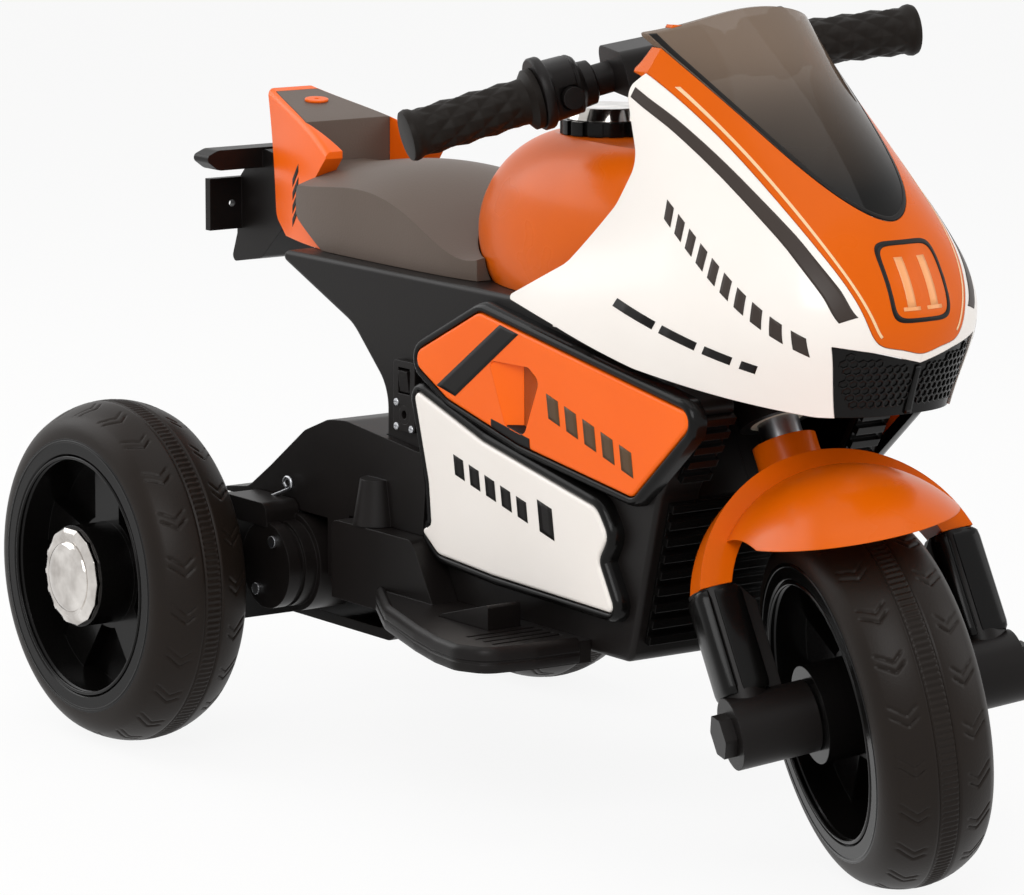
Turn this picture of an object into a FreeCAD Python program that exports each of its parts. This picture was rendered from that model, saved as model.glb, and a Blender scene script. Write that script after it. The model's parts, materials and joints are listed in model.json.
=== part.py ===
"""Kids electric motorbike: one steered front wheel, two rear wheels, moulded shells over a hollow body.

Millimetres, +Z up, forward is -Y, the rider's right is -X. The origin is on the ground, at the middle
of the whole object. The steering stands turned to the right at rest.
"""
import FreeCAD, Part
import math
import os

# Driving dimensions: stance
WHEEL_R = 115.0
TYRE_HALF = 36.0
HALF_TRACK = 170.0
REAR_AXLE_Y = 297.0
STEER_FOOT_Y = -273.0
CASTER_DEG = 28.3
STEER_REST_DEG = 21.0
FORK_OFFSET = 20.0

# Fits
RUN_GAP = 0.08
SEAT_GAP = 0.3
SWING_GAP = 1.0

# Wheels
LIP_R = 92.0
BARREL_OUT_R = 84.0
BARREL_IN_R = 78.0
LIP_W = 4.0
DISC_T = 24.0
DISC_WEB = 4.0
HUB_EASE = 4.0
HUB_R = 30.0
REAR_HUB_R = 34.0
INNER_HUB_R = 20.0
SPOKES = 5
SPOKE_W = 30.0
HUB_END = 1.0
CAP_R = 33.0
CAP_H = 9.0
CAP_BORE = 0.62
CAP_STEPS = [(0.0, 1.0), (0.45, 1.0), (0.6, 0.8), (0.8, 0.75), (1.0, 0.5)]
CAP_WALL = 2.0
AXLE_R = 5.0
NUT_R = 9.0
NUT_T = 6.0
NUT_POCKET_R = 12.0
SHOULDER = 0.8
SHOULDER_RISE = 0.62
BULGE = 0.92
BULGE_RISE = 0.4

# Drive
MODULE = 2.2
GEAR_TEETH = 32
IDLER_TEETH = 20
PINION_TEETH = 10
IDLER_RISE_DEG = 8.0
PINION_RISE_DEG = 6.0
TOOTH = [(-0.24, -1.1), (-0.09, 0.8), (0.09, 0.8), (0.24, -1.1)]
GEAR_W = 14.0
GEARBOX_IN = 60.0
GEARBOX_W = 32.0
GEARBOX_WALL = 3.0
GEAR_ROOM = 3.0
GEAR_BOSS_R = 14.0
MOTOR_R = 30.0
MOTOR_L = 54.0
RING_W = 4.0
RING_DEEP = 2.0
END_CAP_R = 29.0
END_CAP_T = 22.0
SHAFT_R = 3.0
HOOD_Y = 205.0
HOOD_L = 56.0
HOOD_TOP = 168.0
HOOD_W = 26.0

# Main body
BODY_HALF = 82.0
BODY_WALL = 4.0
BODY_EDGE = 7.0
BODY_FLOOR = 120.0
BODY_REAR = 112.0
SADDLE_Z = 332.0
BODY_SIDE = [(-216, 288, 6), (-180, 228, 14), (-152, BODY_FLOOR, 8), (90, BODY_FLOOR, 12), (BODY_REAR, 150, 16),
             (BODY_REAR, 255, 30), (152, 292, 40), (250, SADDLE_Z, 4), (-110, SADDLE_Z, 10)]
HEAD_POCKET_HALF = 52.0
POCKET_FLOOR = 222.0
POCKET_ROOF = 300.0
POCKET_MOUTH_Y = -240.0
POCKET_LOW_Y = -166.0
POCKET_BACK_Y = -140.0
RIB_PITCH = 11.0
RIB_DEEP = 3.5
RIB_SHARE = 0.5
RIB_START = 1.2
GRILLE_BACK = 1.5
GRILLE_HALF = 74.0

# Side panels, standing on the body sides
PANEL_T = 10.0
PANEL_EDGE = 2.5
RECESS = [(-16, 291, 4), (-58, 292, 6), (-70, 285, 6), (-54, 248, 6), (-34, 252, 6)]
RECESS_DEEP = 6.0
ORANGE_SIDE = [(74, 282, 8), (-4, 320, 14), (-228, 284, 8), (-206, 264, 14), (-164, 226, 8), (-46, 242, 20),
               (30, 260, 20)]
WHITE_SIDE = [(68, 262, 4), (-8, 238, 30), (-128, 214, 14), (-140, 198, 8), (-130, 182, 8), (-148, 151, 4),
              (-20, 154, 40), (40, 158, 12), (60, 172, 6), (48, 176, 4), (51, 204, 20)]

# Saddle: half width, edge and crown heights at stations along Y
SEAT_STATIONS = [(36, 64, 346, 352), (84, 68, 356, 368), (124, 68, 372, 384), (174, 67, 378, 392),
                 (222, 64, 374, 388), (290, 49, 374, 384)]

# Tail: lower and upper half width and top height at stations along Y, and its side view from front to rear
TAIL_STATIONS = [(205, 64, 52, 379), (277, 47, 37, 410), (316, 34, 27, 419), (350, 22, 19, 427)]
TAIL_ROUND = 5.0
TAIL_LOW = SADDLE_Z + SEAT_GAP
TAIL_FRONT = [(213, TAIL_LOW), (252, 351, 8), (252, 368, 8), (233, 390), (233, 440)]
TAIL_REAR = [(350, 440), (346, 424, 3), (316, 342, 14), (289, TAIL_LOW)]
CORE_FRONT = 277.0
CORE_REAR = 340.0
CORE_HALF = 34.0
CORE_END_HALF = 17.0
CORE_LOW = 370.0

# Number-plate bracket behind the tail
WING_HALF = 68.0
WING_TIP = 12.0
WING_LOW = 371.0
WING_MID = 380.0
WING_TOP = 385.0
WING_Y = 353.0
WING_L = 18.0
BRACKET_Y = 386.0
STALK_HALF = 20.0
STALK_SIDE = [(320, 345), (325, 380), (350, 384, 4), (372, 372, 6), (BRACKET_Y, 358), (BRACKET_Y, 322), (394, 301, 4),
              (355, 308, 8), (330, 330, 8)]
PLATE_HALF = 46.0
PLATE_T = 6.0
PLATE_MID = 344.0
PLATE_H = 36.0
PLATE_HOLE_R = 2.5
PLATE_HOLE_SPAN = 56.0

# Tank and filler cap: height, half width, front and rear reach
TANK_WALL = 3.0
TANK_FULL = 0.7
TANK_STATIONS = [(SADDLE_Z, 72, -104, 62), (360, 73, -118, 80), (395, 68, -136, 70), (418, 55, -146, 45),
                 (428, 40, -146, 22)]
FILLER_Y = -16.0
FILLER_R = 30.0
FILLER_T = 9.0
NOTCHES = 14
NOTCH_W = 4.0
NOTCH_DEEP = 3.0
CAP_DOME = 8.0

# Fairing: half sections at heights, from the front middle round to the rear, in shares of its half width
FAIRING_T = 3.0
FAIRING_FLARE = 15.0
FAIRING_HALF = BODY_HALF + FAIRING_FLARE
FAIRING = [
    (284, [(0, -312), (0.227, -310), (0.392, -303), (0.577, -280), (0.773, -236), (0.928, -150), (0.948, -30)]),
    (335, [(0, -327), (0.33, -321), (0.619, -303), (0.845, -266), (0.959, -215), (1, -140), (0.969, -30)]),
    (388, [(0, -308), (0.289, -303), (0.515, -290), (0.701, -265), (0.814, -230), (0.856, -180), (0.835, -110)]),
    (438, [(0, -260), (0.258, -253), (0.464, -238), (0.619, -217), (0.722, -192), (0.773, -162), (0.773, -135)]),
    (483, [(0, -210), (0.258, -203), (0.474, -184), (0.608, -161), (0.68, -140), (0.711, -122), (0.711, -105)]),
    (521, [(0, -167), (0.227, -163), (0.433, -151), (0.577, -133), (0.66, -112), (0.68, -97), (0.68, -86)]),
]
FAIRING_SIDE = [(-345, 289, 0), (-290, 289, 30), (-168, 306, 60), (-89, 324, 40), (-38, 334, 2), (-92, 361, 30),
                (-131, 400, 30), (-148, 428, 20), (-131, 470, 10), (-150, 486, 4), (-150, 530, 0), (-345, 530, 0)]
NOSE_EDGE = [(0, 327), (14, 330), (29, 334), (38, 350), (50, 387), (58, 439), (67, 486), (70, 540)]
SCREEN_EDGE = [(0, 402), (19, 410), (33, 427), (46, 458), (56, 488), (60, 503)]
SCREEN_TOP = 519.0
SCREEN_T = 2.5
NOSE_SHORT = 10.0
NOSE_BACK = -400.0
NOSE_REACH = 330.0
NOSE_REAR = [(-345, 280), (-131, 280), (-131, 470, 10), (-128, 540), (-345, 540)]
LAMP_EDGE = [(0, 321), (27, 328), (54, 333), (44, 289)]
LAMP_T = 14.0
LAMP_SUNK = 1.5
FAIRING_PAD_Y = -104.0
PAD_L = 14.0
PAD_LOW = 322.0
PAD_H = 6.0

# Footrests and pedal
FOOT_TOP = 128.0
FOOT_T = 14.0
FOOT_PLAN = [(0, -112, 0), (40, -110, 20), (74, -104, 16), (83, -84, 16), (80, -58, 20), (71, -24, 40), (50, 40, 50),
             (20, 94, 16), (0, 98, 0)]
GROOVES = 4
GROOVE_PITCH = 9.0
GROOVE_IN = 6.0
GROOVE_L = 52.0
GROOVE_W = 3.0
GROOVE_DEEP = 1.5
GUARD_Y = 30.0
GUARD_RAMP = 24.0
GUARD_END = 146.0
GUARD_TOP = 166.0
GUARD_W = 20.0
PEDAL_OFF = 11.5
PEDAL_IN = BODY_HALF + PEDAL_OFF
PEDAL_W = 25.0
PEDAL_L = 47.0
PEDAL_REAR_Y = -6.0
PEDAL_H = 16.0
PEDAL_HEEL = 5.0
PEDAL_LIP = 1.0
PEDAL_WELL = 9.0
PEDAL_TRAVEL_DEG = 8.0
PIVOT_R = 2.0
PIVOT_DEEP = 3.5
PIVOT_Z = FOOT_TOP - PIVOT_DEEP
PIN_REACH = 5.0

# Rear frame
BONNET_HALF = 88.0
BONNET_T = 3.0
BONNET_LOW = 161.0
BONNET_TOP = [(57, 219, 3), (150, 229, 30), (171, 227, 20), (199, 216, 20), (241, 186, 20), (268, 168, 20), (296, 164, 1)]
BONNET_FOOT_Y = 62.0
SKIRT_REAR = 172.0
SKIRT_LOW = 122.0
CONE_Y = 114.0
CONE_R = 16.0
CONE_TOP_R = 11.0
CONE_H = 30.0
REAR_PLATE_Z = 80.0
REAR_PLATE_T = 7.0
BEAM_R = 17.0
FRAME_FRONT = 20.0
FRAME_TOP = 160.0
FRAME_KNEE_Z = 105.0
FRAME_BEND_Y = 140.0
FRAME_TAIL = 24.0

# Steering group, straight ahead
STEM_R = 13.0
HEAD_R = 24.0
HEAD_LOW_Z = 268.0
HEAD_TOP_Z = 420.0
BUSH_T = 4.0
BUSH_L = 18.0
LEG_S = 77.0
LEG_R = 15.0
WEB_IN = 54.0
WEB_T = 10.0
WEB_DROP = 12.0
WEB_LEAN = 8.0
BOSS_R = 22.0
BOSS_IN = 42.0
BOSS_OUT = 92.0
BOLT_CAP_R = 14.0
BOLT_CAP_T = 8.0
CROWN_HALF = 88.0
CROWN_T = 20.0
CROWN_HUB_R = 20.0
CROWN_HUB_H = 17.0
CROWN_BAND = 28.0
CROWN_FOOT = 87.0
CROWN_TOP = 154.0
FENDER_R = 143.0
FENDER_EDGE_R = 112.0
FENDER_HALF = 64.0
FENDER_T = 3.0
FENDER_FRONT_DEG = 62.0
FENDER_REAR_DEG = 25.0
FENDER_RIM_Z = 217.0
FENDER_RIM_DEG = 7.0

# Handlebar
BAR_RISE = 56.5
BAR_Z = HEAD_TOP_Z + BAR_RISE
BAR_BEHIND = 15.0
BAR_R = 10.0
BAR_REACH = 166.0
BAR_DROOP_DEG = 4.5
CLAMP_HALF = 34.0
CLAMP_LOW = 12.0
CLAMP_HIGH = 16.0
CLAMP_WALL = 6.0
CLAMP_LEAN = 10.0
STEM_PROUD = 8.0
GRIP_IN = 84.0
GRIP_R = 15.0
GRIP_END = 4.0
GRIP_COLLAR = 4.0
GRIP_SWELL = 40.0
GRIP_BEAD = 1.5
CONTROL_IN = 46.0
CONTROL_H = 40.0
CONTROL_D = 38.0
CONTROL_TOP = 24.0
CONTROL_LEAN = 8.0
CONTROL_CUT = 12.0
BUTTON_R = 7.0
BUTTON_H = 5.0
BUTTON_TRAVEL = 2.5
BUTTON_SINK = 4.0
BUTTON_S = 66.0
BUTTON_Z = -2.0

# Electrics
BATTERY = (70.0, 100.0, 94.0)
BATTERY_Y = -60.0
BOARD = (60.0, 80.0, 2.0)
RELAY = (20.0, 16.0, 12.0)
RELAY_OFF = 10.0
SPEAKER_R = 28.0
SPEAKER_T = 16.0
SPEAKER_Y = -20.0
SPEAKER_Z = 285.0
PORT_Y = 84.0
PORT_Z = 254.0
PORT_W = 24.0
PORT_H = 46.0
PORT_T = 5.0
PORT_RIM = 4.0
JACK_DROP = 12.0
JACK_Z = PORT_Z - JACK_DROP
ROCKER_RISE = 10.0
ROCKER_Z = PORT_Z + ROCKER_RISE
PIN_R = 1.2
JACK_R = 2.8
JACK_L = 12.0
JACK_BODY_R = 6.0
JACK_END = 3.0
ROCKER_W = 10.0
ROCKER_H = 14.0
ROCKER_T = 6.0
ROCKER_DEG = 14.0
ROCKER_GAP = 1.5
SCREW_R = 4.0
SCREW_T = 2.0
SCREW_RING = 20.0
SCREW_TURNS = (120, 300)

AXIS_X = FreeCAD.Vector(1, 0, 0)
AXIS_Y = FreeCAD.Vector(0, 1, 0)
AXIS_Z = FreeCAD.Vector(0, 0, 1)
CASTER = math.radians(CASTER_DEG)
STEER_DIR = FreeCAD.Vector(0, math.sin(CASTER), math.cos(CASTER))
STEER_FORE = FreeCAD.Vector(0, -math.cos(CASTER), math.sin(CASTER))


def on_axis(z):
    """Point of the steering axis at height z."""
    return FreeCAD.Vector(0, STEER_FOOT_Y + (z - WHEEL_R) * math.tan(CASTER), z)


FRONT_AXLE = on_axis(WHEEL_R) + STEER_FORE * FORK_OFFSET + STEER_DIR * (-FORK_OFFSET * math.tan(CASTER))
BAR_MID = on_axis(BAR_Z) + FreeCAD.Vector(0, BAR_BEHIND, 0)
IDLER_GAP = MODULE * (GEAR_TEETH + IDLER_TEETH) / 2
IDLER_COURSE = math.pi - math.radians(IDLER_RISE_DEG)
IDLER_Y = REAR_AXLE_Y + IDLER_GAP * math.cos(IDLER_COURSE)
IDLER_Z = WHEEL_R + IDLER_GAP * math.sin(IDLER_COURSE)
MOTOR_GAP = MODULE * (IDLER_TEETH + PINION_TEETH) / 2
MOTOR_COURSE = math.pi - math.radians(PINION_RISE_DEG)
MOTOR_Y = IDLER_Y + MOTOR_GAP * math.cos(MOTOR_COURSE)
MOTOR_Z = IDLER_Z + MOTOR_GAP * math.sin(MOTOR_COURSE)
GEAR_X = GEARBOX_IN + GEARBOX_W / 2


def side_view(x=0.0):
    """Places an outline point (y, z) in the plane at x."""
    return lambda a, b: FreeCAD.Vector(x, a, b)


def plan_view(z=0.0):
    """Places an outline point (x, y) in the plane at height z."""
    return lambda a, b: FreeCAD.Vector(a, b, z)


def front_view(y=0.0):
    """Places an outline point (x, z) in the plane at y."""
    return lambda a, b: FreeCAD.Vector(a, y, b)


def rounded_wire(corners, place):
    """Closed wire through corners (a, b, radius), each corner turned by a tangent arc."""
    points = [place(c[0], c[1]) for c in corners]
    radii = [c[2] if len(c) > 2 else 0 for c in corners]
    count = len(points)
    stops = []
    edges = []
    for i in range(count):
        here = points[i]
        back = points[i - 1] - here
        on = points[(i + 1) % count] - here
        if radii[i] <= 0:
            stops.append((here, here, None))
            continue
        half = back.getAngle(on) / 2
        reach = min(radii[i] / math.tan(half), 0.45 * back.Length, 0.45 * on.Length)
        radius = reach * math.tan(half)
        start = here + back.normalize() * reach
        end = here + on.normalize() * reach
        inward = (back + on).normalize()
        middle = here + inward * (radius / math.sin(half) - radius)
        stops.append((start, end, middle))
    for i in range(count):
        start, end, middle = stops[i]
        if middle is not None:
            edges.append(Part.Arc(start, middle, end).toShape())
        following = stops[(i + 1) % count][0]
        if end.distanceToPoint(following) > 1e-6:
            edges.append(Part.makeLine(end, following))
    return Part.Wire(edges)


def slab(corners, place, sweep):
    """Solid swept from a rounded outline."""
    return Part.Face(rounded_wire(corners, place)).extrude(sweep)


def smooth_wire(points):
    """Closed wire: one smooth curve through the points, with a straight closing line."""
    curve = Part.BSplineCurve()
    curve.interpolate(points)
    return Part.Wire([curve.toShape(), Part.makeLine(points[-1], points[0])])


def rod(start, direction, radius, length):
    """Round rod from a start point along a direction."""
    return Part.makeCylinder(radius, length, start, direction)


def across(radius, x0, x1, y, z):
    """Round rod along X between two stations."""
    return rod(FreeCAD.Vector(x0, y, z), AXIS_X, radius, x1 - x0)


def block(x0, x1, y0, y1, z0, z1):
    """Box between two corners."""
    return Part.makeBox(x1 - x0, y1 - y0, z1 - z0, FreeCAD.Vector(x0, y0, z0))


def mirrored(shape):
    """The same piece for the other side."""
    return shape.mirror(FreeCAD.Vector(0, 0, 0), AXIS_X)


def fused(first, *others):
    """One solid of several that meet."""
    return first.fuse(list(others)).removeSplitter()


def biggest(shape):
    """Main solid of a cut, without the offcuts."""
    return max(shape.Solids, key=lambda solid: solid.Volume)


def pair(build):
    """The right and the left copy of a mirrored piece, as one group."""
    return Part.Compound([build(-1), build(1)])


def turned(shape):
    """Turns a straight-ahead steering piece to the rest position."""
    copy = shape.copy()
    copy.rotate(on_axis(WHEEL_R), STEER_DIR, -STEER_REST_DEG)
    return copy


def lathe(profile, y, z):
    """Ring turned about the wheel axis from a closed profile of (x, radius) points."""
    points = [FreeCAD.Vector(x, y, z + r) for x, r in profile]
    face = Part.Face(Part.makePolygon(points + points[:1]))
    return face.revolve(FreeCAD.Vector(0, y, z), AXIS_X, 360)


def belt_wire(y0, z0, r0, y1, z1, r1, x):
    """Outline round two circles in the side view, with straight tangents between them."""
    gap = math.hypot(y1 - y0, z1 - z0)
    course = math.atan2(z1 - z0, y1 - y0)
    lean = math.acos((r0 - r1) / gap)

    def at(y, z, r, angle):
        return FreeCAD.Vector(x, y + r * math.cos(angle), z + r * math.sin(angle))

    up0 = at(y0, z0, r0, course + lean)
    low0 = at(y0, z0, r0, course - lean)
    up1 = at(y1, z1, r1, course + lean)
    low1 = at(y1, z1, r1, course - lean)
    far0 = at(y0, z0, r0, course + math.pi)
    far1 = at(y1, z1, r1, course)
    return Part.Wire([Part.Arc(up0, far0, low0).toShape(), Part.makeLine(low0, low1),
                      Part.Arc(low1, far1, up1).toShape(), Part.makeLine(up1, up0)])


# Wheels

def tyre(x, y, z):
    """Tyre with a round crown over the rim."""
    place = [FreeCAD.Vector(x + s * TYRE_HALF, y, z + LIP_R) for s in (-1, 1)]
    shoulder = SHOULDER * TYRE_HALF
    bulge = BULGE * TYRE_HALF
    rise = LIP_R + SHOULDER_RISE * (WHEEL_R - LIP_R)
    bulge_r = LIP_R + BULGE_RISE * (WHEEL_R - LIP_R)
    left = Part.Arc(place[0], FreeCAD.Vector(x - bulge, y, z + bulge_r),
                    FreeCAD.Vector(x - shoulder, y, z + rise)).toShape()
    crown = Part.Arc(FreeCAD.Vector(x - shoulder, y, z + rise), FreeCAD.Vector(x, y, z + WHEEL_R),
                     FreeCAD.Vector(x + shoulder, y, z + rise)).toShape()
    right = Part.Arc(FreeCAD.Vector(x + shoulder, y, z + rise),
                     FreeCAD.Vector(x + bulge, y, z + bulge_r), place[1]).toShape()
    seat = [(TYRE_HALF, LIP_R), (TYRE_HALF - LIP_W, LIP_R), (TYRE_HALF - LIP_W, BARREL_OUT_R)]
    low = seat + [(-a, r) for a, r in reversed(seat)]
    points = [FreeCAD.Vector(x + a, y, z + r) for a, r in low]
    lines = [Part.makeLine(a, b) for a, b in zip(points, points[1:])]
    face = Part.Face(Part.Wire(Part.__sortEdges__([left, crown, right] + lines)))
    return face.revolve(FreeCAD.Vector(0, y, z), AXIS_X, 360)


def rim(x, y, z, out, hub_out, hub_in, hub_r, hub_in_r):
    """Barrel with lips, a closed disc with sunk fields between its spokes, and a hub; out faces outwards."""
    lip = [(TYRE_HALF, LIP_R), (TYRE_HALF, BARREL_IN_R + LIP_W), (TYRE_HALF - LIP_W, BARREL_IN_R)]
    outer = [(TYRE_HALF - LIP_W, LIP_R), (TYRE_HALF - LIP_W, BARREL_OUT_R)]
    ring = [(-a, r) for a, r in reversed(lip)]
    profile = lip + ring + [(-a, r) for a, r in outer] + list(reversed(outer))
    barrel = lathe([(x + a, r) for a, r in profile], y, z)
    disc = across((BARREL_IN_R + BARREL_OUT_R) / 2, x - DISC_T / 2, x + DISC_T / 2, y, z)
    ends = sorted((x + out * hub_out, x))
    hub = across(hub_r, ends[0], ends[1], y, z)
    ends = sorted((x, x - out * hub_in))
    back = across(hub_in_r, ends[0], ends[1], y, z)
    fields = across(BARREL_IN_R, x - DISC_T, x + DISC_T, y, z)
    fields = fields.cut(across(hub_r + HUB_EASE, x - DISC_T, x + DISC_T, y, z))
    fields = fields.cut(across(BARREL_OUT_R, x - DISC_WEB / 2, x + DISC_WEB / 2, y, z))
    for i in range(SPOKES):
        spoke = block(x - DISC_T, x + DISC_T, y - SPOKE_W / 2, y + SPOKE_W / 2, z, z + WHEEL_R)
        spoke.rotate(FreeCAD.Vector(x, y, z), AXIS_X, 360 * i / SPOKES)
        fields = fields.cut(spoke)
    whole = fused(barrel, disc.cut(fields), hub, back)
    return whole.cut(across(AXLE_R + RUN_GAP, x - WHEEL_R, x + WHEEL_R, y, z))


def hub_cap(x, y, z, out):
    """Stepped bright cap over the axle nut, closed at its face."""
    base = TYRE_HALF + HUB_END
    face = base + CAP_H
    profile = [(base, CAP_BORE * CAP_R)] + [(base + a * CAP_H, r * CAP_R) for a, r in CAP_STEPS]
    profile += [(face, 0), (face - CAP_WALL, 0), (face - CAP_WALL, CAP_STEPS[-1][1] * CAP_R)]
    return lathe([(x + out * a, r) for a, r in profile], y, z)


def rear_wheel(side):
    """Rim, tyre and cap of one rear wheel."""
    x = side * HALF_TRACK
    back = HALF_TRACK - GEARBOX_IN - GEARBOX_W - SWING_GAP
    body = rim(x, REAR_AXLE_Y, WHEEL_R, side, TYRE_HALF + HUB_END, back, REAR_HUB_R, INNER_HUB_R)
    pocket = TYRE_HALF + HUB_END - NUT_T - SWING_GAP
    ends = sorted((x + side * pocket, x + side * (TYRE_HALF + 2 * CAP_H)))
    body = body.cut(across(NUT_POCKET_R, ends[0], ends[1], REAR_AXLE_Y, WHEEL_R))
    return body, tyre(x, REAR_AXLE_Y, WHEEL_R), hub_cap(x, REAR_AXLE_Y, WHEEL_R, side)


def rear_axle():
    """Steel rod through both wheels, the gearboxes and the beam."""
    end = HALF_TRACK + TYRE_HALF + HUB_END
    return across(AXLE_R, -end, end, REAR_AXLE_Y, WHEEL_R)


def axle_nut(side):
    """Hexagon nut on the end of the rear axle, inside the hub."""
    start = HALF_TRACK + TYRE_HALF + HUB_END - NUT_T
    corners = [(REAR_AXLE_Y + NUT_R * math.cos(math.pi * i / 3), WHEEL_R + NUT_R * math.sin(math.pi * i / 3))
               for i in range(6)]
    nut = slab(corners, side_view(side * start), AXIS_X * (side * NUT_T))
    return nut.cut(across(AXLE_R, -2 * start, 2 * start, REAR_AXLE_Y, WHEEL_R))


# Drive

def gear(teeth, x0, x1, y, z, first):
    """Straight-flanked gear on the X axis, with one tooth standing at the angle first."""
    pitch_r = MODULE * teeth / 2
    step = 2 * math.pi / teeth
    points = []
    for i in range(teeth):
        for share, rise in TOOTH:
            angle = first + step * (i + share)
            r = pitch_r + rise * MODULE
            points.append((y + r * math.cos(angle), z + r * math.sin(angle)))
    return slab(points, side_view(x0), AXIS_X * (x1 - x0))


def drive_gear():
    """Output gear of the right gearbox, with the boss that drives the wheel."""
    body = gear(GEAR_TEETH, -GEAR_X - GEAR_W / 2, -GEAR_X + GEAR_W / 2, REAR_AXLE_Y, WHEEL_R, IDLER_COURSE)
    boss = across(GEAR_BOSS_R, -GEARBOX_IN - GEARBOX_W - SWING_GAP, -GEAR_X, REAR_AXLE_Y, WHEEL_R)
    return fused(body, boss).cut(across(AXLE_R + RUN_GAP, -HALF_TRACK, 0, REAR_AXLE_Y, WHEEL_R))


IDLER_TOOTH = IDLER_COURSE + math.pi + math.pi / IDLER_TEETH


def idler_gear():
    """Idler between the pinion and the output gear, on stub ends in the gearbox walls."""
    body = gear(IDLER_TEETH, -GEAR_X - GEAR_W / 2, -GEAR_X + GEAR_W / 2, IDLER_Y, IDLER_Z, IDLER_TOOTH)
    reach = GEARBOX_W / 2 - 1
    return fused(body, across(SHAFT_R, -GEAR_X - reach, -GEAR_X + reach, IDLER_Y, IDLER_Z))


def motor_pinion():
    """Motor shaft with its pinion, meshing with the idler."""
    step = 2 * math.pi / IDLER_TEETH
    lag = (MOTOR_COURSE - IDLER_TOOTH) % step
    course = MOTOR_COURSE + math.pi + lag * IDLER_TEETH / PINION_TEETH + math.pi / PINION_TEETH
    body = gear(PINION_TEETH, -GEAR_X - GEAR_W / 2, -GEAR_X + GEAR_W / 2, MOTOR_Y, MOTOR_Z, course)
    shaft = across(SHAFT_R, -GEAR_X, -GEARBOX_IN + MOTOR_L / 2, MOTOR_Y, MOTOR_Z)
    return fused(body, shaft)


def ringed(radius, start, length, share):
    """Round pod on the motor's line, with a groove round it at a share of its length."""
    pod = across(radius, start, start + length, MOTOR_Y, MOTOR_Z)
    x = start + length * share
    groove = across(radius + RING_DEEP, x - RING_W / 2, x + RING_W / 2, MOTOR_Y, MOTOR_Z)
    return pod.cut(groove.cut(across(radius - RING_DEEP, x - RING_W, x + RING_W, MOTOR_Y, MOTOR_Z)))


def gearbox(side):
    """Closed housing round the gears, clamped on the axle, with a round end cap in line with the motor."""
    gear_r = MODULE * (GEAR_TEETH / 2 + 1) + GEAR_ROOM
    nose_r = MOTOR_R + GEARBOX_WALL
    wide = (REAR_AXLE_Y, WHEEL_R, gear_r, MOTOR_Y, MOTOR_Z, nose_r - GEARBOX_WALL)
    outer = Part.Face(belt_wire(wide[0], wide[1], gear_r + GEARBOX_WALL, wide[3], wide[4], nose_r, GEARBOX_IN))
    inner = Part.Face(belt_wire(*wide, GEARBOX_IN + GEARBOX_WALL))
    box = outer.extrude(AXIS_X * GEARBOX_W).cut(inner.extrude(AXIS_X * (GEARBOX_W - 2 * GEARBOX_WALL)))
    box = box.cut(across(AXLE_R, 0, HALF_TRACK, REAR_AXLE_Y, WHEEL_R))
    box = box.cut(across(GEAR_BOSS_R + SWING_GAP, GEAR_X, HALF_TRACK, REAR_AXLE_Y, WHEEL_R))
    box = box.cut(across(SHAFT_R + SWING_GAP, 0, GEAR_X, MOTOR_Y, MOTOR_Z))
    box = box.cut(across(SHAFT_R + RUN_GAP, 0, HALF_TRACK, IDLER_Y, IDLER_Z))
    end = GEARBOX_IN + GEARBOX_W
    low = MOTOR_Z + END_CAP_R - GEARBOX_WALL
    hood = slab([(HOOD_Y, low), (HOOD_Y, HOOD_TOP, 8), (HOOD_Y + HOOD_L, HOOD_TOP, 8), (HOOD_Y + HOOD_L, low)],
                side_view(end - GEARBOX_WALL), AXIS_X * HOOD_W)
    box = fused(box, hood.cut(outer.extrude(AXIS_X * GEARBOX_W)), ringed(END_CAP_R, end, END_CAP_T, 1 / 2))
    return box if side > 0 else mirrored(box)


def motor(side):
    """Motor pod on the inner face of a gearbox, with a groove and a bore for its shaft."""
    can = ringed(MOTOR_R, GEARBOX_IN - MOTOR_L, MOTOR_L, 2 / 3)
    can = can.cut(across(SHAFT_R + RUN_GAP, GEARBOX_IN - MOTOR_L / 2 - SWING_GAP, GEARBOX_IN, MOTOR_Y, MOTOR_Z))
    return can if side > 0 else mirrored(can)


def rear_frame():
    """Floor plate under the motors with the beam that holds the axle, screwed under the body."""
    top = REAR_PLATE_Z + REAR_PLATE_T
    under = BODY_FLOOR - SEAT_GAP
    behind = BODY_REAR + SEAT_GAP
    knee = behind + REAR_PLATE_T
    lower = under - REAR_PLATE_T
    tail = REAR_AXLE_Y + FRAME_TAIL
    side = [(FRAME_FRONT, under), (behind, under), (behind, FRAME_TOP), (knee, FRAME_TOP), (knee, FRAME_KNEE_Z, 8),
            (FRAME_BEND_Y + 10, top, 10), (tail, top), (tail, REAR_PLATE_Z), (FRAME_BEND_Y, REAR_PLATE_Z, 10),
            (BODY_REAR - 12, lower, 10), (FRAME_FRONT, lower)]
    width = GEARBOX_IN - SEAT_GAP
    plate = slab(side, side_view(-width), AXIS_X * (2 * width))
    beam = across(BEAM_R, -width, width, REAR_AXLE_Y, WHEEL_R)
    foot = block(-width, width, REAR_AXLE_Y - BEAM_R, REAR_AXLE_Y + BEAM_R, top - 1, WHEEL_R)
    whole = fused(plate, beam, foot)
    return whole.cut(across(AXLE_R, -HALF_TRACK, HALF_TRACK, REAR_AXLE_Y, WHEEL_R))


def body_room():
    """Space that the main body takes, with the seating gap all round."""
    half = BODY_HALF + SEAT_GAP
    face = Part.Face(rounded_wire(BODY_SIDE, side_view(-half))).makeOffset2D(SEAT_GAP)
    return face.extrude(AXIS_X * (2 * half))


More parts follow.
